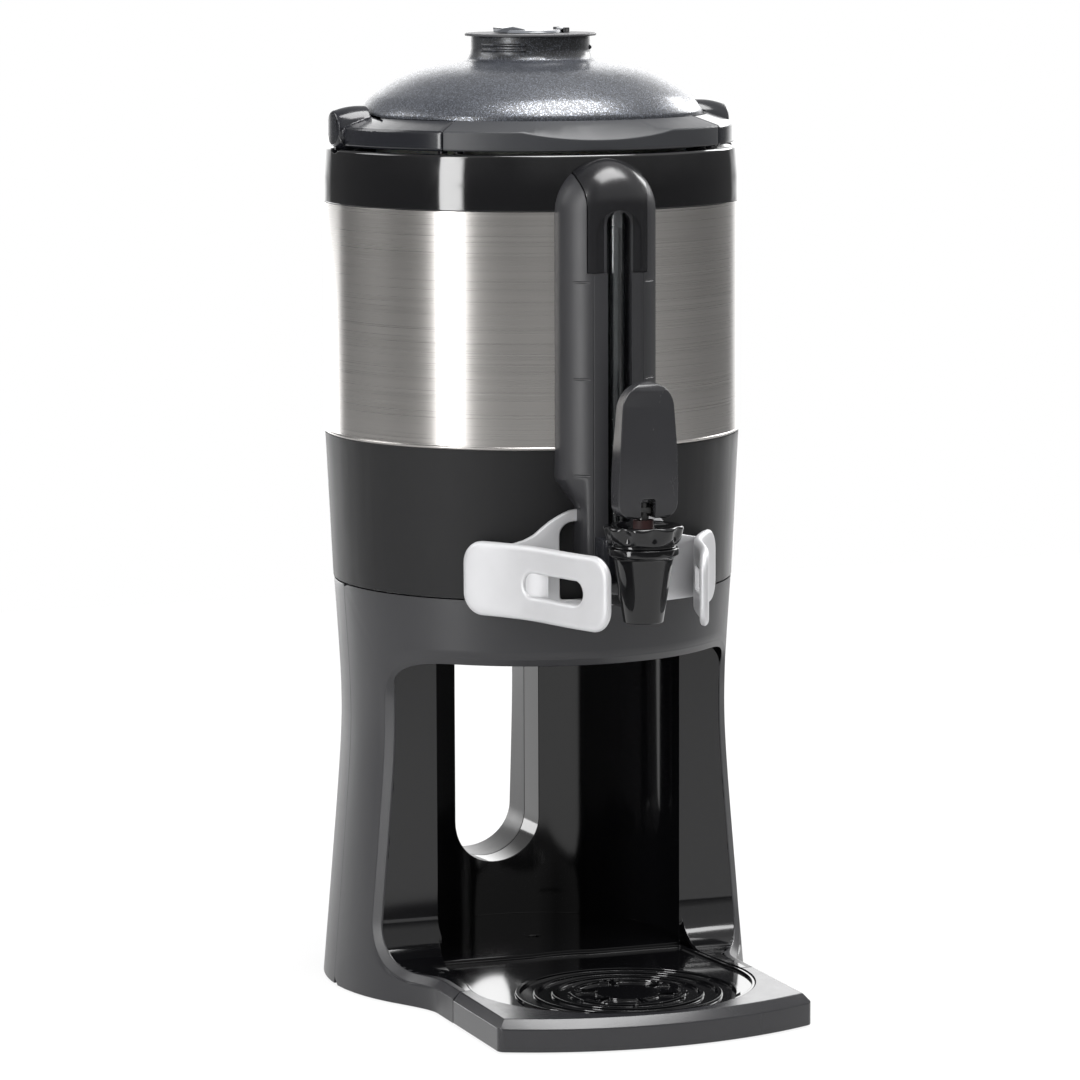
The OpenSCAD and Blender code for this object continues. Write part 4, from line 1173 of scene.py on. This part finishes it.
@dataclass
class Guard:
    """Faucet guard: two cast wings with long slots, on a curved plate that arches over the column."""

    plan: tuple[Flat, ...] = ((72.4, -94.0), (66.3, -102.0), (59.6, -111.0), (53.4, -121.0), (48.4, -132.0),
                              (44.6, -144.5), (41.2, -157.5), (36.9, -170.5), (32.3, -182.0), (28.0, -191.5))
    smoothing: tuple[tuple[int, int], ...] = ((60, 20), (120, 30))
    low: float = 224.3
    high: float = 265.6
    thickness: float = 5.0
    edge: float = 3.6
    corner: float = 12.5
    corner_steps: int = 10
    overhang: float = 2.5
    around: int = 200
    near: tuple[float, ...] = (0.0, 0.05, 0.22, 0.55, 1.05, 1.75, 2.6, 3.7)
    flank: int = 6
    slot_low: float = 238.0
    slot_high: float = 250.6
    slot_back_y: float = -128.0
    slot_front_y: float = -175.5
    slot_edge: float = 2.4
    web_from: float = 0.35
    web_length: float = 15.0
    web_overlap: float = 0.4
    web_face: Flat = (0.30, -0.44)
    web_back: float = -0.47
    web_rows: int = 12
    web_half: int = 6
    plate_rim: tuple[Flat, ...] = ((0.0, 283.3), (15.0, 283.3), (21.5, 282.2), (27.0, 279.6), (32.0, 276.4),
                                   (36.5, 272.6), (40.5, 268.8), (45.5, 265.9), (51.0, 264.0), (60.5, 262.0),
                                   (60.5, 229.6), (59.5, 228.6), (0.0, 228.6))
    plate_middle: Flat = (0.0, 252.0)
    plate_r: float = 117.0
    plate_t: float = 3.2
    plate_edge: float = 1.1
    plate_near: tuple[float, ...] = (0.0, 0.08, 0.3, 0.65, 1.1)
    plate_around: int = 360
    hole_half: float = 26.7
    hole_low: float = 232.8
    hole_top: float = 276.0
    hole_radii: Flat = (2.0, 8.0)
    hole_steps: tuple[int, int] = (4, 8)

    def middle(self) -> Ribbon:
        """Smooths the plan of the right wing, from its tail to its tip.

        Returns:
            The ribbon over it.
        """
        line = self.plan
        for count, passes in self.smoothing:
            line = relaxed(spread(line, count), passes)
        return Ribbon(line)

    def outline(self, length: float) -> list[Flat]:
        """Outline of the flattened wing.

        Args:
            length: length of its ribbon.

        Returns:
            Points as distance along the ribbon and height.
        """
        a, b, r, n = -self.overhang, length + self.overhang, self.corner, self.corner_steps
        line = arc((b - r, self.high - r), r, 90, 0, n) + arc((b - r, self.low + r), r, 0, -90, n)
        line += arc((a + r, self.low + r), r, -90, -180, n) + arc((a + r, self.high - r), r, 180, 90, n)
        return [tuple(p) for p in spread(line + line[:1], self.around + 1)[:-1]]

    def inside(self, s: float, z: float, length: float) -> float:
        """How far inside its outline a point of the flattened wing stands.

        Args:
            s: distance along the ribbon.
            z: height.
            length: length of the ribbon.

        Returns:
            The distance.
        """
        half_s, half_z = length / 2 + self.overhang, (self.high - self.low) / 2
        u = abs(s - length / 2) - (half_s - self.corner)
        v = abs(z - (self.low + self.high) / 2) - (half_z - self.corner)
        return self.corner - (math.hypot(max(u, 0), max(v, 0)) + min(max(u, v), 0.0))

    def rounding(self, distance: float, width: float) -> float:
        """Share of the thickness at a distance from an edge."""
        return math.sqrt(max(1 - (1 - min(max(distance / width, 0.0), 1.0)) ** 2, 0.0))

    def wing(self, skin: Skin) -> None:
        """Adds the right wing to a skin.

        Args:
            skin: where its rows go.
        """
        ribbon = self.middle()
        radius = (self.slot_high - self.slot_low) / 2
        level = (self.slot_high + self.slot_low) / 2
        back = ribbon.reach(self.slot_back_y)
        ends = (back + radius, ribbon.reach(self.slot_front_y) - radius)
        columns = []
        for s, z in self.outline(ribbon.length):
            rim = Vector((s, z))
            centre = Vector((min(max(s, ends[0]), ends[1]), level))
            hole = centre + (rim - centre).normalized() * radius
            columns.append(crossing(rim, hole, self.near, self.flank))
        outer: list[list[Point]] = []
        inner: list[list[Point]] = []
        for row in zip(*columns):
            outer.append([])
            inner.append([])
            for here, _ in row:
                away = math.hypot(here.x - min(max(here.x, ends[0]), ends[1]), here.y - level) - radius
                half = self.thickness / 2
                half *= self.rounding(self.inside(here.x, here.y, ribbon.length), self.edge)
                half *= self.rounding(away, self.slot_edge)
                outer[-1].append(ribbon.place(here.x, here.y, half))
                inner[-1].append(ribbon.place(here.x, here.y, -half))
        skin.loft(outer + inner[-2:0:-1], ring=True)
        self.web(skin, ribbon, back, radius)

    def web(self, skin: Skin, ribbon: Ribbon, back: float, radius: float) -> None:
        """Adds the sloping web in the back end of the right wing's slot.

        Args:
            skin: where its rows go.
            ribbon: the wing's ribbon.
            back: distance along it of the slot's back end.
            radius: radius of the slot's ends.
        """
        level = (self.slot_high + self.slot_low) / 2
        rows = []
        for k in range(self.web_rows + 1):
            away = self.web_from + self.web_length * k / self.web_rows
            reach = math.sqrt(radius ** 2 - max(radius - away, 0.0) ** 2) + self.web_overlap
            face = self.thickness * mix(*self.web_face, ease(0.0, 1.0, k / self.web_rows))
            rear = self.thickness * self.web_back
            spots = [level + reach * (j / self.web_half - 1) for j in range(2 * self.web_half + 1)]
            upper = [ribbon.place(back + away, z, face) for z in spots]
            lower = [ribbon.place(back + away, z, rear) for z in reversed(spots)]
            rows.append(upper + lower)
        skin.loft(rows)

    def plate(self, skin: Skin) -> None:
        """Adds the arched plate to a skin.

        Args:
            skin: where its rows go.
        """
        rim = [*self.plate_rim, *mirrored(self.plate_rim[1:-1])]
        low_r, top_r = self.hole_radii
        low_steps, top_steps = self.hole_steps
        hole = arc((self.hole_half - top_r, self.hole_top - top_r), top_r, 90, 0, top_steps)
        hole += arc((self.hole_half - low_r, self.hole_low + low_r), low_r, 0, -90, low_steps)
        hole += mirrored(hole)
        columns = []
        for i in range(self.plate_around):
            ends = [cast(line, self.plate_middle, math.tau * i / self.plate_around) for line in (rim, hole)]
            columns.append(crossing(*ends, self.plate_near))
        front: list[list[Point]] = []
        rear: list[list[Point]] = []
        for row in zip(*columns):
            for rows, sign in ((front, 1), (rear, -1)):
                rows.append([])
                for here, away in row:
                    half = self.plate_t / 2 * self.rounding(away, self.plate_edge)
                    r = self.plate_r + self.plate_t / 2 + sign * half
                    rows[-1].append((here.x, -math.sqrt(r * r - here.x * here.x), here.y))
        skin.loft(front + rear[-2:0:-1], ring=True)

    def build(self) -> bpy.types.Object:
        """Makes the guard.

        Returns:
            The piece.
        """
        skin = Skin()
        self.wing(skin)
        skin.mirror()
        self.plate(skin)
        return skin.build("faucet_guard_piece", 60.0)


@dataclass
class Bonnet:
    """Lobed cap that holds the valve in the faucet's body."""

    centre: Flat = (0.0, -173.5)
    lobes: int = 8
    first: float = -3.0
    width: float = 10.5
    sides: int = 240
    # radius, height, and how deep the hollows between the lobes are
    rows: tuple[Point, ...] = (
        (17.2, 269.8, 0.0), (18.3, 269.8, 0.0), (18.8, 270.2, 0.1), (19.5, 271.0, 0.6), (20.3, 272.4, 1.5),
        (20.9, 274.2, 2.2), (21.4, 276.0, 2.5), (21.7, 277.4, 2.3), (21.8, 278.4, 1.9), (21.6, 279.1, 1.4),
        (21.1, 279.6, 0.9), (20.3, 279.85, 0.4), (18.6, 279.8, 0.1), (15.6, 279.5, 0.0), (14.6, 279.0, 0.0),
        (9.2, 278.2, 0.0), (3.6, 278.1, 0.0), (3.15, 277.7, 0.0), (3.15, 271.0, 0.0), (14.0, 270.8, 0.0))

    def build(self) -> bpy.types.Object:
        """Turns the rows about the faucet's axis.

        Returns:
            The piece.
        """
        skin = Skin()
        rings = []
        half = 180 / self.lobes
        for radius, z, depth in self.rows:
            rings.append([])
            for i in range(self.sides):
                angle = 360 * i / self.sides
                off = (angle - self.first + half) % (2 * half) - half
                r = radius - depth * math.exp(-(off / self.width) ** 2)
                a = math.radians(angle)
                rings[-1].append((self.centre[0] + r * math.sin(a), self.centre[1] - r * math.cos(a), z))
        skin.loft(rings, ring=True)
        return skin.build("faucet_bonnet_piece", 60.0)


@dataclass
class GaugeColumn:
    """Column of the sight gauge: a rounded body with a domed top, and the cap let into it."""

    plan: tuple[Flat, ...] = ((0.0, -139.6), (6.0, -139.3), (11.5, -138.2), (16.5, -136.0), (20.5, -132.8),
                              (24.2, -128.6), (26.9, -124.2), (28.5, -119.4), (28.9, -112.0))
    back: float = -112.0
    front: float = -139.6
    half: float = 28.9
    low_half: float = 17.6
    bend: Flat = (284.0, 300.0)
    z0: float = 254.0
    z1: float = 474.6
    top_r: float = 24.0
    plan_points: int = 34
    plan_passes: int = 3
    shaft_steps: int = 24
    # angles in degrees at which the dome's rings stand
    dome: tuple[int, ...] = tuple(range(2, 87, 4))
    channel_half: float = 7.0
    channel_y: float = -126.0
    channel_top: float = 440.0
    cutter_y: float = -150.0
    cutter_top: float = 500.0
    cutter_over: float = 2.0
    arc_steps: int = 24
    cap_z0: float = 413.8
    cap_half: float = 17.2
    cap_top_half: float = 19.2
    cap_step: float = 0.6
    cap_flare: Point = (452.0, 457.0, 464.0)
    cap_proud: float = 0.35
    cap_back: float = -118.0
    cap_round: float = 0.35
    seat_gap: float = 0.45
    seat_depth: float = 1.4
    seat_back: float = -113.0
    arch_z: float = 434.5
    arch_r: float = 13.1
    arch_foot: float = 405.0
    recess: float = 2.2
    slot_half: float = 8.5
    slot_z: float = 438.5
    slot_back: float = -117.0
    ticks: tuple[float, ...] = (302.7, 355.6, 408.5)
    tick_r: float = 0.8
    tick_half: float = 5.0
    tick_at: Flat = (20.2, -133.1)
    tick_turn: float = 42.0
    groove_r: float = 0.5
    groove_at: Flat = (14.5, -137.15)

    def solid(self, name: str, grow: float) -> bpy.types.Object:
        """The column's outside as a closed form.

        Args:
            name: the object's name.
            grow: distance that it stands proud.

        Returns:
            The form.
        """
        half_plan = relaxed(spread(self.plan, self.plan_points), self.plan_passes)
        outline = [(-p.x, p.y) for p in half_plan[::-1]] + [(p.x, p.y) for p in half_plan[1:]]
        low, high = self.bend
        shoulder = self.z1 - self.half
        steps = self.shaft_steps
        heights = [self.z0, low, high] + [mix(high, shoulder, i / steps) for i in range(1, steps + 1)]
        heights += [shoulder + self.half * math.sin(math.radians(a)) for a in self.dome]
        side = 1 + grow / self.half
        deep = 1 + grow / (self.back - self.front)
        rows = []
        for z in heights:
            width = self.half
            if z < high:
                width = mix(self.low_half, self.half, max((z - low) / (high - low), 0.0))
            narrow = math.sqrt(max(1 - (max(z - shoulder, 0.0) / self.half) ** 2, 0.0))
            over = max(z - (self.z1 - self.top_r), 0.0)
            face = self.front + self.top_r - math.sqrt(self.top_r ** 2 - over * over)
            depth = (face - self.back) / (self.front - self.back)
            top = z + (grow if z > shoulder else 0.0)
            rows.append([(max(min(x, width), -width) * narrow * side,
                          self.back + (y - self.back) * depth * deep, top) for x, y in outline])
        skin = Skin()
        skin.loft(rows)
        return skin.build(name)

    def bar(self, name: str, outline: Sequence[Flat], back: float) -> bpy.types.Object:
        """A cutter with an outline seen from the front, from before the column to a depth."""
        skin = Skin()
        skin.loft([[(x, y, z) for x, z in outline] for y in (self.cutter_y, back)])
        return skin.build(name)

    def cut(self, piece: bpy.types.Object, tool: bpy.types.Object, how: str = "DIFFERENCE") -> None:
        """Works one form on another and deletes the tool.

        Args:
            piece: the form that changes.
            tool: the form that cuts it.
            how: the Boolean modifier's operation.
        """
        work = piece.modifiers.new("cut", "BOOLEAN")
        work.operation = how
        work.solver = "EXACT"
        work.object = tool
        applied(piece)
        bpy.data.objects.remove(tool)

    def cap_outline(self, grow: float) -> list[Flat]:
        """Outline of the cap from the front.

        Args:
            grow: distance that it is grown all round.

        Returns:
            Its corners.
        """
        half, wide, low = self.cap_half + grow, self.cap_top_half + grow, self.cap_z0 - grow
        z0, z1, z2 = self.cap_flare
        right = [(half, low), (half, z0), (half + self.cap_step, z1), (wide, z2), (wide, self.cutter_top)]
        return right + mirrored(right)

    def slot_outline(self, half: float, foot: float, centre: float) -> list[Flat]:
        """Outline of a slot with a round top."""
        return [(half, foot)] + arc((0.0, centre), half, 0, 180, self.arc_steps) + [(-half, foot)]

    def tick(self, z: float, sign: int) -> bpy.types.Object:
        """A rod that cuts one level mark into the column.

        Args:
            z: height of the mark.
            sign: -1 for the left side, 1 for the right.

        Returns:
            The rod in its place.
        """
        skin = Skin()
        skin.rod(self.tick_r, -self.tick_half, self.tick_half)
        mark = skin.build("mark")
        lying = Matrix.Rotation(math.radians(90), 4, "Y")
        turn = Matrix.Rotation(math.radians(sign * self.tick_turn), 4, "Z")
        at = Matrix.Translation((sign * self.tick_at[0] * MM, self.tick_at[1] * MM, z * MM))
        mark.data.transform(at @ turn @ lying)
        return mark

    def housing(self) -> bpy.types.Object:
        """The column's body with its channel, its marks and the cap's seat.

        Returns:
            The piece.
        """
        body = self.solid("gauge_housing_piece", 0.0)
        foot = self.z0 - self.cutter_over
        channel = self.slot_outline(self.channel_half, foot, self.channel_top)
        self.cut(body, self.bar("channel", channel, self.channel_y))
        seat = self.bar("seat", self.cap_outline(self.seat_gap), self.seat_back)
        self.cut(seat, self.solid("core", -self.seat_depth))
        self.cut(body, seat)
        for z in self.ticks:
            for sign in (-1, 1):
                self.cut(body, self.tick(z, sign))
        for sign in (-1, 1):
            skin = Skin()
            skin.rod(self.groove_r, foot, self.cap_z0, (sign * self.groove_at[0], self.groove_at[1]))
            self.cut(body, skin.build("groove"))
        return settle(body, 30.0)

    def cap(self) -> bpy.types.Object:
        """The cap: an arch over the tube with two legs beside it.

        Returns:
            The piece.
        """
        body = self.solid("gauge_cap_piece", self.cap_proud)
        slot = self.slot_outline(self.slot_half, self.arch_foot, self.slot_z)
        recess = self.slot_outline(self.arch_r, self.arch_foot, self.arch_z)
        self.cut(body, self.bar("block", self.cap_outline(0.0), self.cap_back), "INTERSECT")
        self.cut(body, self.bar("slot", slot, self.slot_back))
        self.cut(body, self.bar("recess", recess, self.front + self.recess))
        return round_edges(body, self.cap_round, 40.0, clamp=True)


@dataclass
class HandleArm:
    """Side arm of the handle, whose knuckle narrows towards its outer end."""

    pivot_z: float = 488.0
    start: float = 103.0
    end: float = 118.4
    last_ring: float = 117.2
    rings: int = 12
    reach: float = 13.6
    narrow: float = 0.24
    edge: float = 1.1
    merge: float = 1e-3

    def build(self, node: str) -> bpy.types.Object:
        """Makes one arm from its CAD form.

        Args:
            node: the CAD node.

        Returns:
            The piece.
        """
        piece = softened(node, self.edge)
        bm = bmesh.new()
        bm.from_mesh(piece.data)
        side = -1 if node.endswith("left") else 1
        for i in range(self.rings):
            at = side * mix(self.start, self.last_ring, i / (self.rings - 1)) * MM
            bmesh.ops.bisect_plane(bm, geom=bm.verts[:] + bm.edges[:] + bm.faces[:], dist=self.merge * MM,
                                   plane_co=(at, 0, 0), plane_no=(1, 0, 0))
        for vert in bm.verts:
            y, z = vert.co.y, vert.co.z - self.pivot_z * MM
            if math.hypot(y, z) > self.reach * MM:
                continue
            share = min(max((abs(vert.co.x) / MM - self.start) / (self.end - self.start), 0.0), 1.0)
            factor = 1 - self.narrow * share ** 2
            vert.co.y = y * factor
            vert.co.z = self.pivot_z * MM + z * factor
        bm.to_mesh(piece.data)
        bm.free()
        return settle(piece)


@dataclass
class SoftenedPieces:
    """CAD forms that only need their edges rounded, each by a width."""

    rows: tuple[tuple[str, Body, Slot, Finish, float], ...] = (
        ("base_rear_shell", Body.URN, Slot.SHELL, SHELL, 0.6),
        ("bay_liner", Body.URN, Slot.GLOSS, GLOSS, 0.4),
        ("tray_frame", Body.URN, Slot.SHELL, TRAY_FRAME, 0.5),
        ("drip_tray", Body.TRAY, Slot.GLOSS, POLISHED_BLACK, 0.35),
        ("lower_shroud", Body.URN, Slot.GLOSS, SHROUD, 0.4),
        ("steel_jacket", Body.URN, Slot.JACKET, JACKET, 0.15),
        ("top_collar", Body.URN, Slot.GLOSS, POLISHED_BLACK, 0.5),
        ("rear_rim", Body.URN, Slot.HANDLE, HANDLE, 0.5),
        ("faucet_body", Body.URN, Slot.GLOSS, GLOSS, 0.4),
        ("faucet_lever", Body.LEVER, Slot.HANDLE, LEVER, 1.0),
        ("gauge_fitting", Body.URN, Slot.HANDLE, HANDLE, 0.3),
        ("sight_tube", Body.URN, Slot.TUBE, TUBE, 0.1),
        ("lid_dome", Body.LID, Slot.LID, LID, 0.3),
        ("brew_stem", Body.LID, Slot.INNER, INNER, 0.3),
        ("stem_flap", Body.FLAP, Slot.HANDLE, FLAP, 0.3),
        ("handle_grip", Body.HANDLE, Slot.HANDLE, GRIP, 0.6))

    def build(self) -> None:
        """Makes each piece from its CAD form."""
        for node, body, slot, finish, width in self.rows:
            fit(softened(node, width), body, slot, finish, node)


@dataclass
class KeptParts:
    """CAD nodes whose own form stays, by the finish that each gets."""

    rows: tuple[tuple[Finish, tuple[str, ...]], ...] = (
        (INNER, ("bottom_plate", "top_deck", "bottom_cover", "shank_nut", "tube_plug", "lid_liner")),
        (RUBBER, ("rubber_feet", "shank_washer")),
        (PLATED, ("plate_screws", "deck_screws", "rim_screws", "guard_screws", "valve_spring", "flap_pin",
                  "pivot_pins")),
        (VESSEL, ("vessel_outer", "vessel_bottom", "vessel_wall", "vessel_shoulder", "outlet_elbow",
                  "faucet_shank")),
        (SILICONE, ("vessel_seat", "seat_cup", "lid_gasket", "tube_grommet")),
        (RED, ("stem_seal",)),
        # the valve stem's dark finish is painted shade in the lever's slot
        (SLOT_SHADE_STEM, ("valve_stem",)),
        # the lever pin is dark as painted shade in the lever's slot; the grip screws are blacked steel
        (BLACKED_AND_SLOT_SHADE, ("lever_pin", "grip_screws")))

    def build(self) -> None:
        """Gives each kept node its finish."""
        for finish, nodes in self.rows:
            for node in nodes:
                finish.dress(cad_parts[node])
                log.info("%s: %s", node, finish.name)


# ---- studio, in metres ----

@dataclass
class Studio:
    """Floor, backdrop, lamps and camera."""

    camera_at: Point = (-0.969, -2.631, 0.6195)
    azimuth: float = -20.22
    pitch: float = 7.50
    yaw: float = 0.09
    roll: float = -0.19
    focal: float = 164.47
    sensor: float = 36.0
    sight: float = 100.0
    floor_half: float = 1.5
    floor_tones: tuple[Colour, Colour] = ((0.86, 0.86, 0.86), (0.90, 0.90, 0.90))
    floor_glow: float = 0.86
    floor_roughness: float = 0.9
    paper_grain: Grain = Grain(400.0, 3.0)
    world_low: float = 0.14
    world_back: float = 2.3
    back_way: Point = (0.346, 0.938, 0.0)
    back_ends: Flat = (0.80, 0.975)
    raised_ends: Flat = (-0.02, 0.30)
    raised: tuple[Flat, ...] = (
        (-180, 0.35), (-150, 0.20), (-135, 0.18), (-120, 0.10), (-105, 0.20), (-85, 0.34), (-60, 0.55),
        (-45, 0.32), (-32, 0.16), (-18, 0.55), (0, 0.55), (40, 0.60), (70, 0.78), (90, 0.55), (115, 0.50),
        (145, 0.55), (180, 0.35))
    # name, place, the point that it faces, width and height, watts
    lamps: tuple[tuple[str, Point, Point, Flat, float], ...] = (
        ("left_strip", (-1.61, -0.78, 0.60), (0, 0, 0.34), (0.38, 1.7), 24.0),
        ("top_box", (0.20, -0.42, 1.95), (0, 0, 0.5), (1.25, 0.9), 46.0),
        ("low_left_box", (-0.50, 1.45, 0.15), (0, 0, 0.2), (0.6, 0.28), 2.5),
        ("back_left_box", (-1.35, 0.75, 1.15), (0, 0, 0.25), (0.8, 0.8), 9.0),
        ("back_right_box", (1.5, 0.9, 1.1), (0, 0, 0.25), (0.6, 0.8), 14.0))

    def camera(self) -> None:
        """Sets the camera."""
        data = bpy.data.cameras.new("camera")
        data.sensor_width = self.sensor
        data.lens = self.focal
        data.clip_end = self.sight
        yaw, pitch, roll = (math.radians(v) for v in (self.yaw, self.pitch, self.roll))
        ahead = Vector((math.sin(yaw) * math.cos(pitch), math.cos(yaw) * math.cos(pitch), -math.sin(pitch)))
        level = Vector((math.cos(yaw), -math.sin(yaw), 0.0))
        upright = level.cross(ahead)
        right = math.cos(roll) * level + math.sin(roll) * upright
        up = -math.sin(roll) * level + math.cos(roll) * upright
        turn = Matrix((right, up, -ahead)).transposed()
        turn = Matrix.Rotation(math.radians(self.azimuth), 3, "Z") @ turn
        made = bpy.data.objects.new("camera", data)
        made.matrix_world = Matrix.Translation(self.camera_at) @ turn.to_4x4()
        bpy.context.scene.collection.objects.link(made)
        bpy.context.scene.camera = made

    def floor(self) -> None:
        """Lays the pale floor, which looks white to the camera, to reflections and through the tube."""
        half = self.floor_half / MM
        skin = Skin()
        corners = [(-half, -half, 0), (half, -half, 0), (half, half, 0), (-half, half, 0)]
        skin.faces.append(tuple(skin.row(corners)))
        plane = skin.build("floor")
        paper = bpy.data.materials.new("paper")
        surface = Surface(paper)
        path = surface.tree.nodes.new("ShaderNodeLightPath")
        seen = Socket(surface, path.outputs["Is Camera Ray"])
        glossy = Socket(surface, path.outputs["Is Glossy Ray"])
        through = Socket(surface, path.outputs["Is Transmission Ray"])
        grain = surface.noise(surface.place(), self.paper_grain)
        diffuse = surface.body(Base_Color=surface.tint(grain, *self.floor_tones),
                               Roughness=self.floor_roughness, Specular_IOR_Level=0.0)
        glow = surface.node("Emission", None, {"Color": (1.0, 1.0, 1.0), "Strength": 1.0})
        share = (seen + glossy + through).clamp() * self.floor_glow
        surface.finish(surface.node("MixShader", None, {0: share, 1: diffuse, 2: glow}))
        plane.data.materials.append(paper)

    def world(self) -> None:
        """Sets a world that is white to the camera and through the tube, and lit panels to all else."""
        world = bpy.data.worlds.new("studio")
        bpy.context.scene.world = world
        surface = Surface(world)
        path = surface.tree.nodes.new("ShaderNodeLightPath")
        seen = Socket(surface, path.outputs["Is Camera Ray"])
        through = Socket(surface, path.outputs["Is Transmission Ray"])
        way = surface.node("TexCoord", output="Generated")
        behind = surface.node("VectorMath", {"operation": "DOT_PRODUCT"}, {0: way, 1: self.back_way},
                              output="Value")
        back = surface.climb(behind, self.back_ends, self.world_back)
        side = surface.axis(way, "X")
        front = 0 - surface.axis(way, "Y")
        turn = surface.math("ARCTAN2", side, front) * (0.5 / math.pi) + 0.5
        stops = [((angle + 180) / 360, (level, level, level)) for angle, level in self.raised]
        panels = surface.grey(surface.node("ValToRGB", {"stops": stops}, {"Fac": turn}))
        level = back + panels * surface.climb(surface.axis(way, "Z"), self.raised_ends) + self.world_low
        panelled = surface.node("Background", None, {"Color": (1.0, 1.0, 1.0), "Strength": level})
        white = surface.node("Background", None, {"Color": (1.0, 1.0, 1.0), "Strength": 1.0})
        surface.finish(surface.node("MixShader", None, {0: (seen + through).clamp(), 1: panelled, 2: white}))

    def lamp(self, name: str, at: Point, aim: Point, size: Flat, power: float) -> None:
        """Adds one soft box.

        Args:
            name: its name.
            at: where it hangs, in metres.
            aim: the point that it faces.
            size: width and height, in metres.
            power: watts.
        """
        data = bpy.data.lights.new(name, "AREA")
        data.shape = "RECTANGLE"
        data.size, data.size_y = size
        data.energy = power
        made = bpy.data.objects.new(name, data)
        way = Vector(aim) - Vector(at)
        made.matrix_world = Matrix.Translation(at) @ way.to_track_quat("-Z", "Y").to_matrix().to_4x4()
        bpy.context.scene.collection.objects.link(made)

    def build(self) -> None:
        """Sets the camera, the floor, the world and the lamps."""
        bpy.context.scene.view_settings.view_transform = "Standard"
        self.camera()
        self.floor()
        self.world()
        for lamp in self.lamps:
            self.lamp(*lamp)


def main() -> None:
    """Builds the studio and the urn, piece by piece."""
    logging.basicConfig(level=logging.INFO, format="%(name)s %(message)s")
    Studio().build()
    fit(FrontShell().build(), Body.URN, Slot.SHELL, SHELL, "base_front_shell")
    fit(Guard().build(), Body.URN, Slot.GUARD, GUARD, "faucet_guard")
    fit(Bonnet().build(), Body.URN, Slot.GLOSS, GLOSS, "faucet_bonnet")
    column = GaugeColumn()
    fit(column.housing(), Body.URN, Slot.HANDLE, COLUMN, "gauge_housing")
    fit(column.cap(), Body.URN, Slot.GLOSS, CAP, "gauge_cap")
    for node in ("handle_arm_left", "handle_arm_right"):
        fit(HandleArm().build(node), Body.HANDLE, Slot.HANDLE, HANDLE, node)
    SoftenedPieces().build()
    KeptParts().build()


if __name__ == "__main__":
    main()
    bpy.context.view_layer.update()
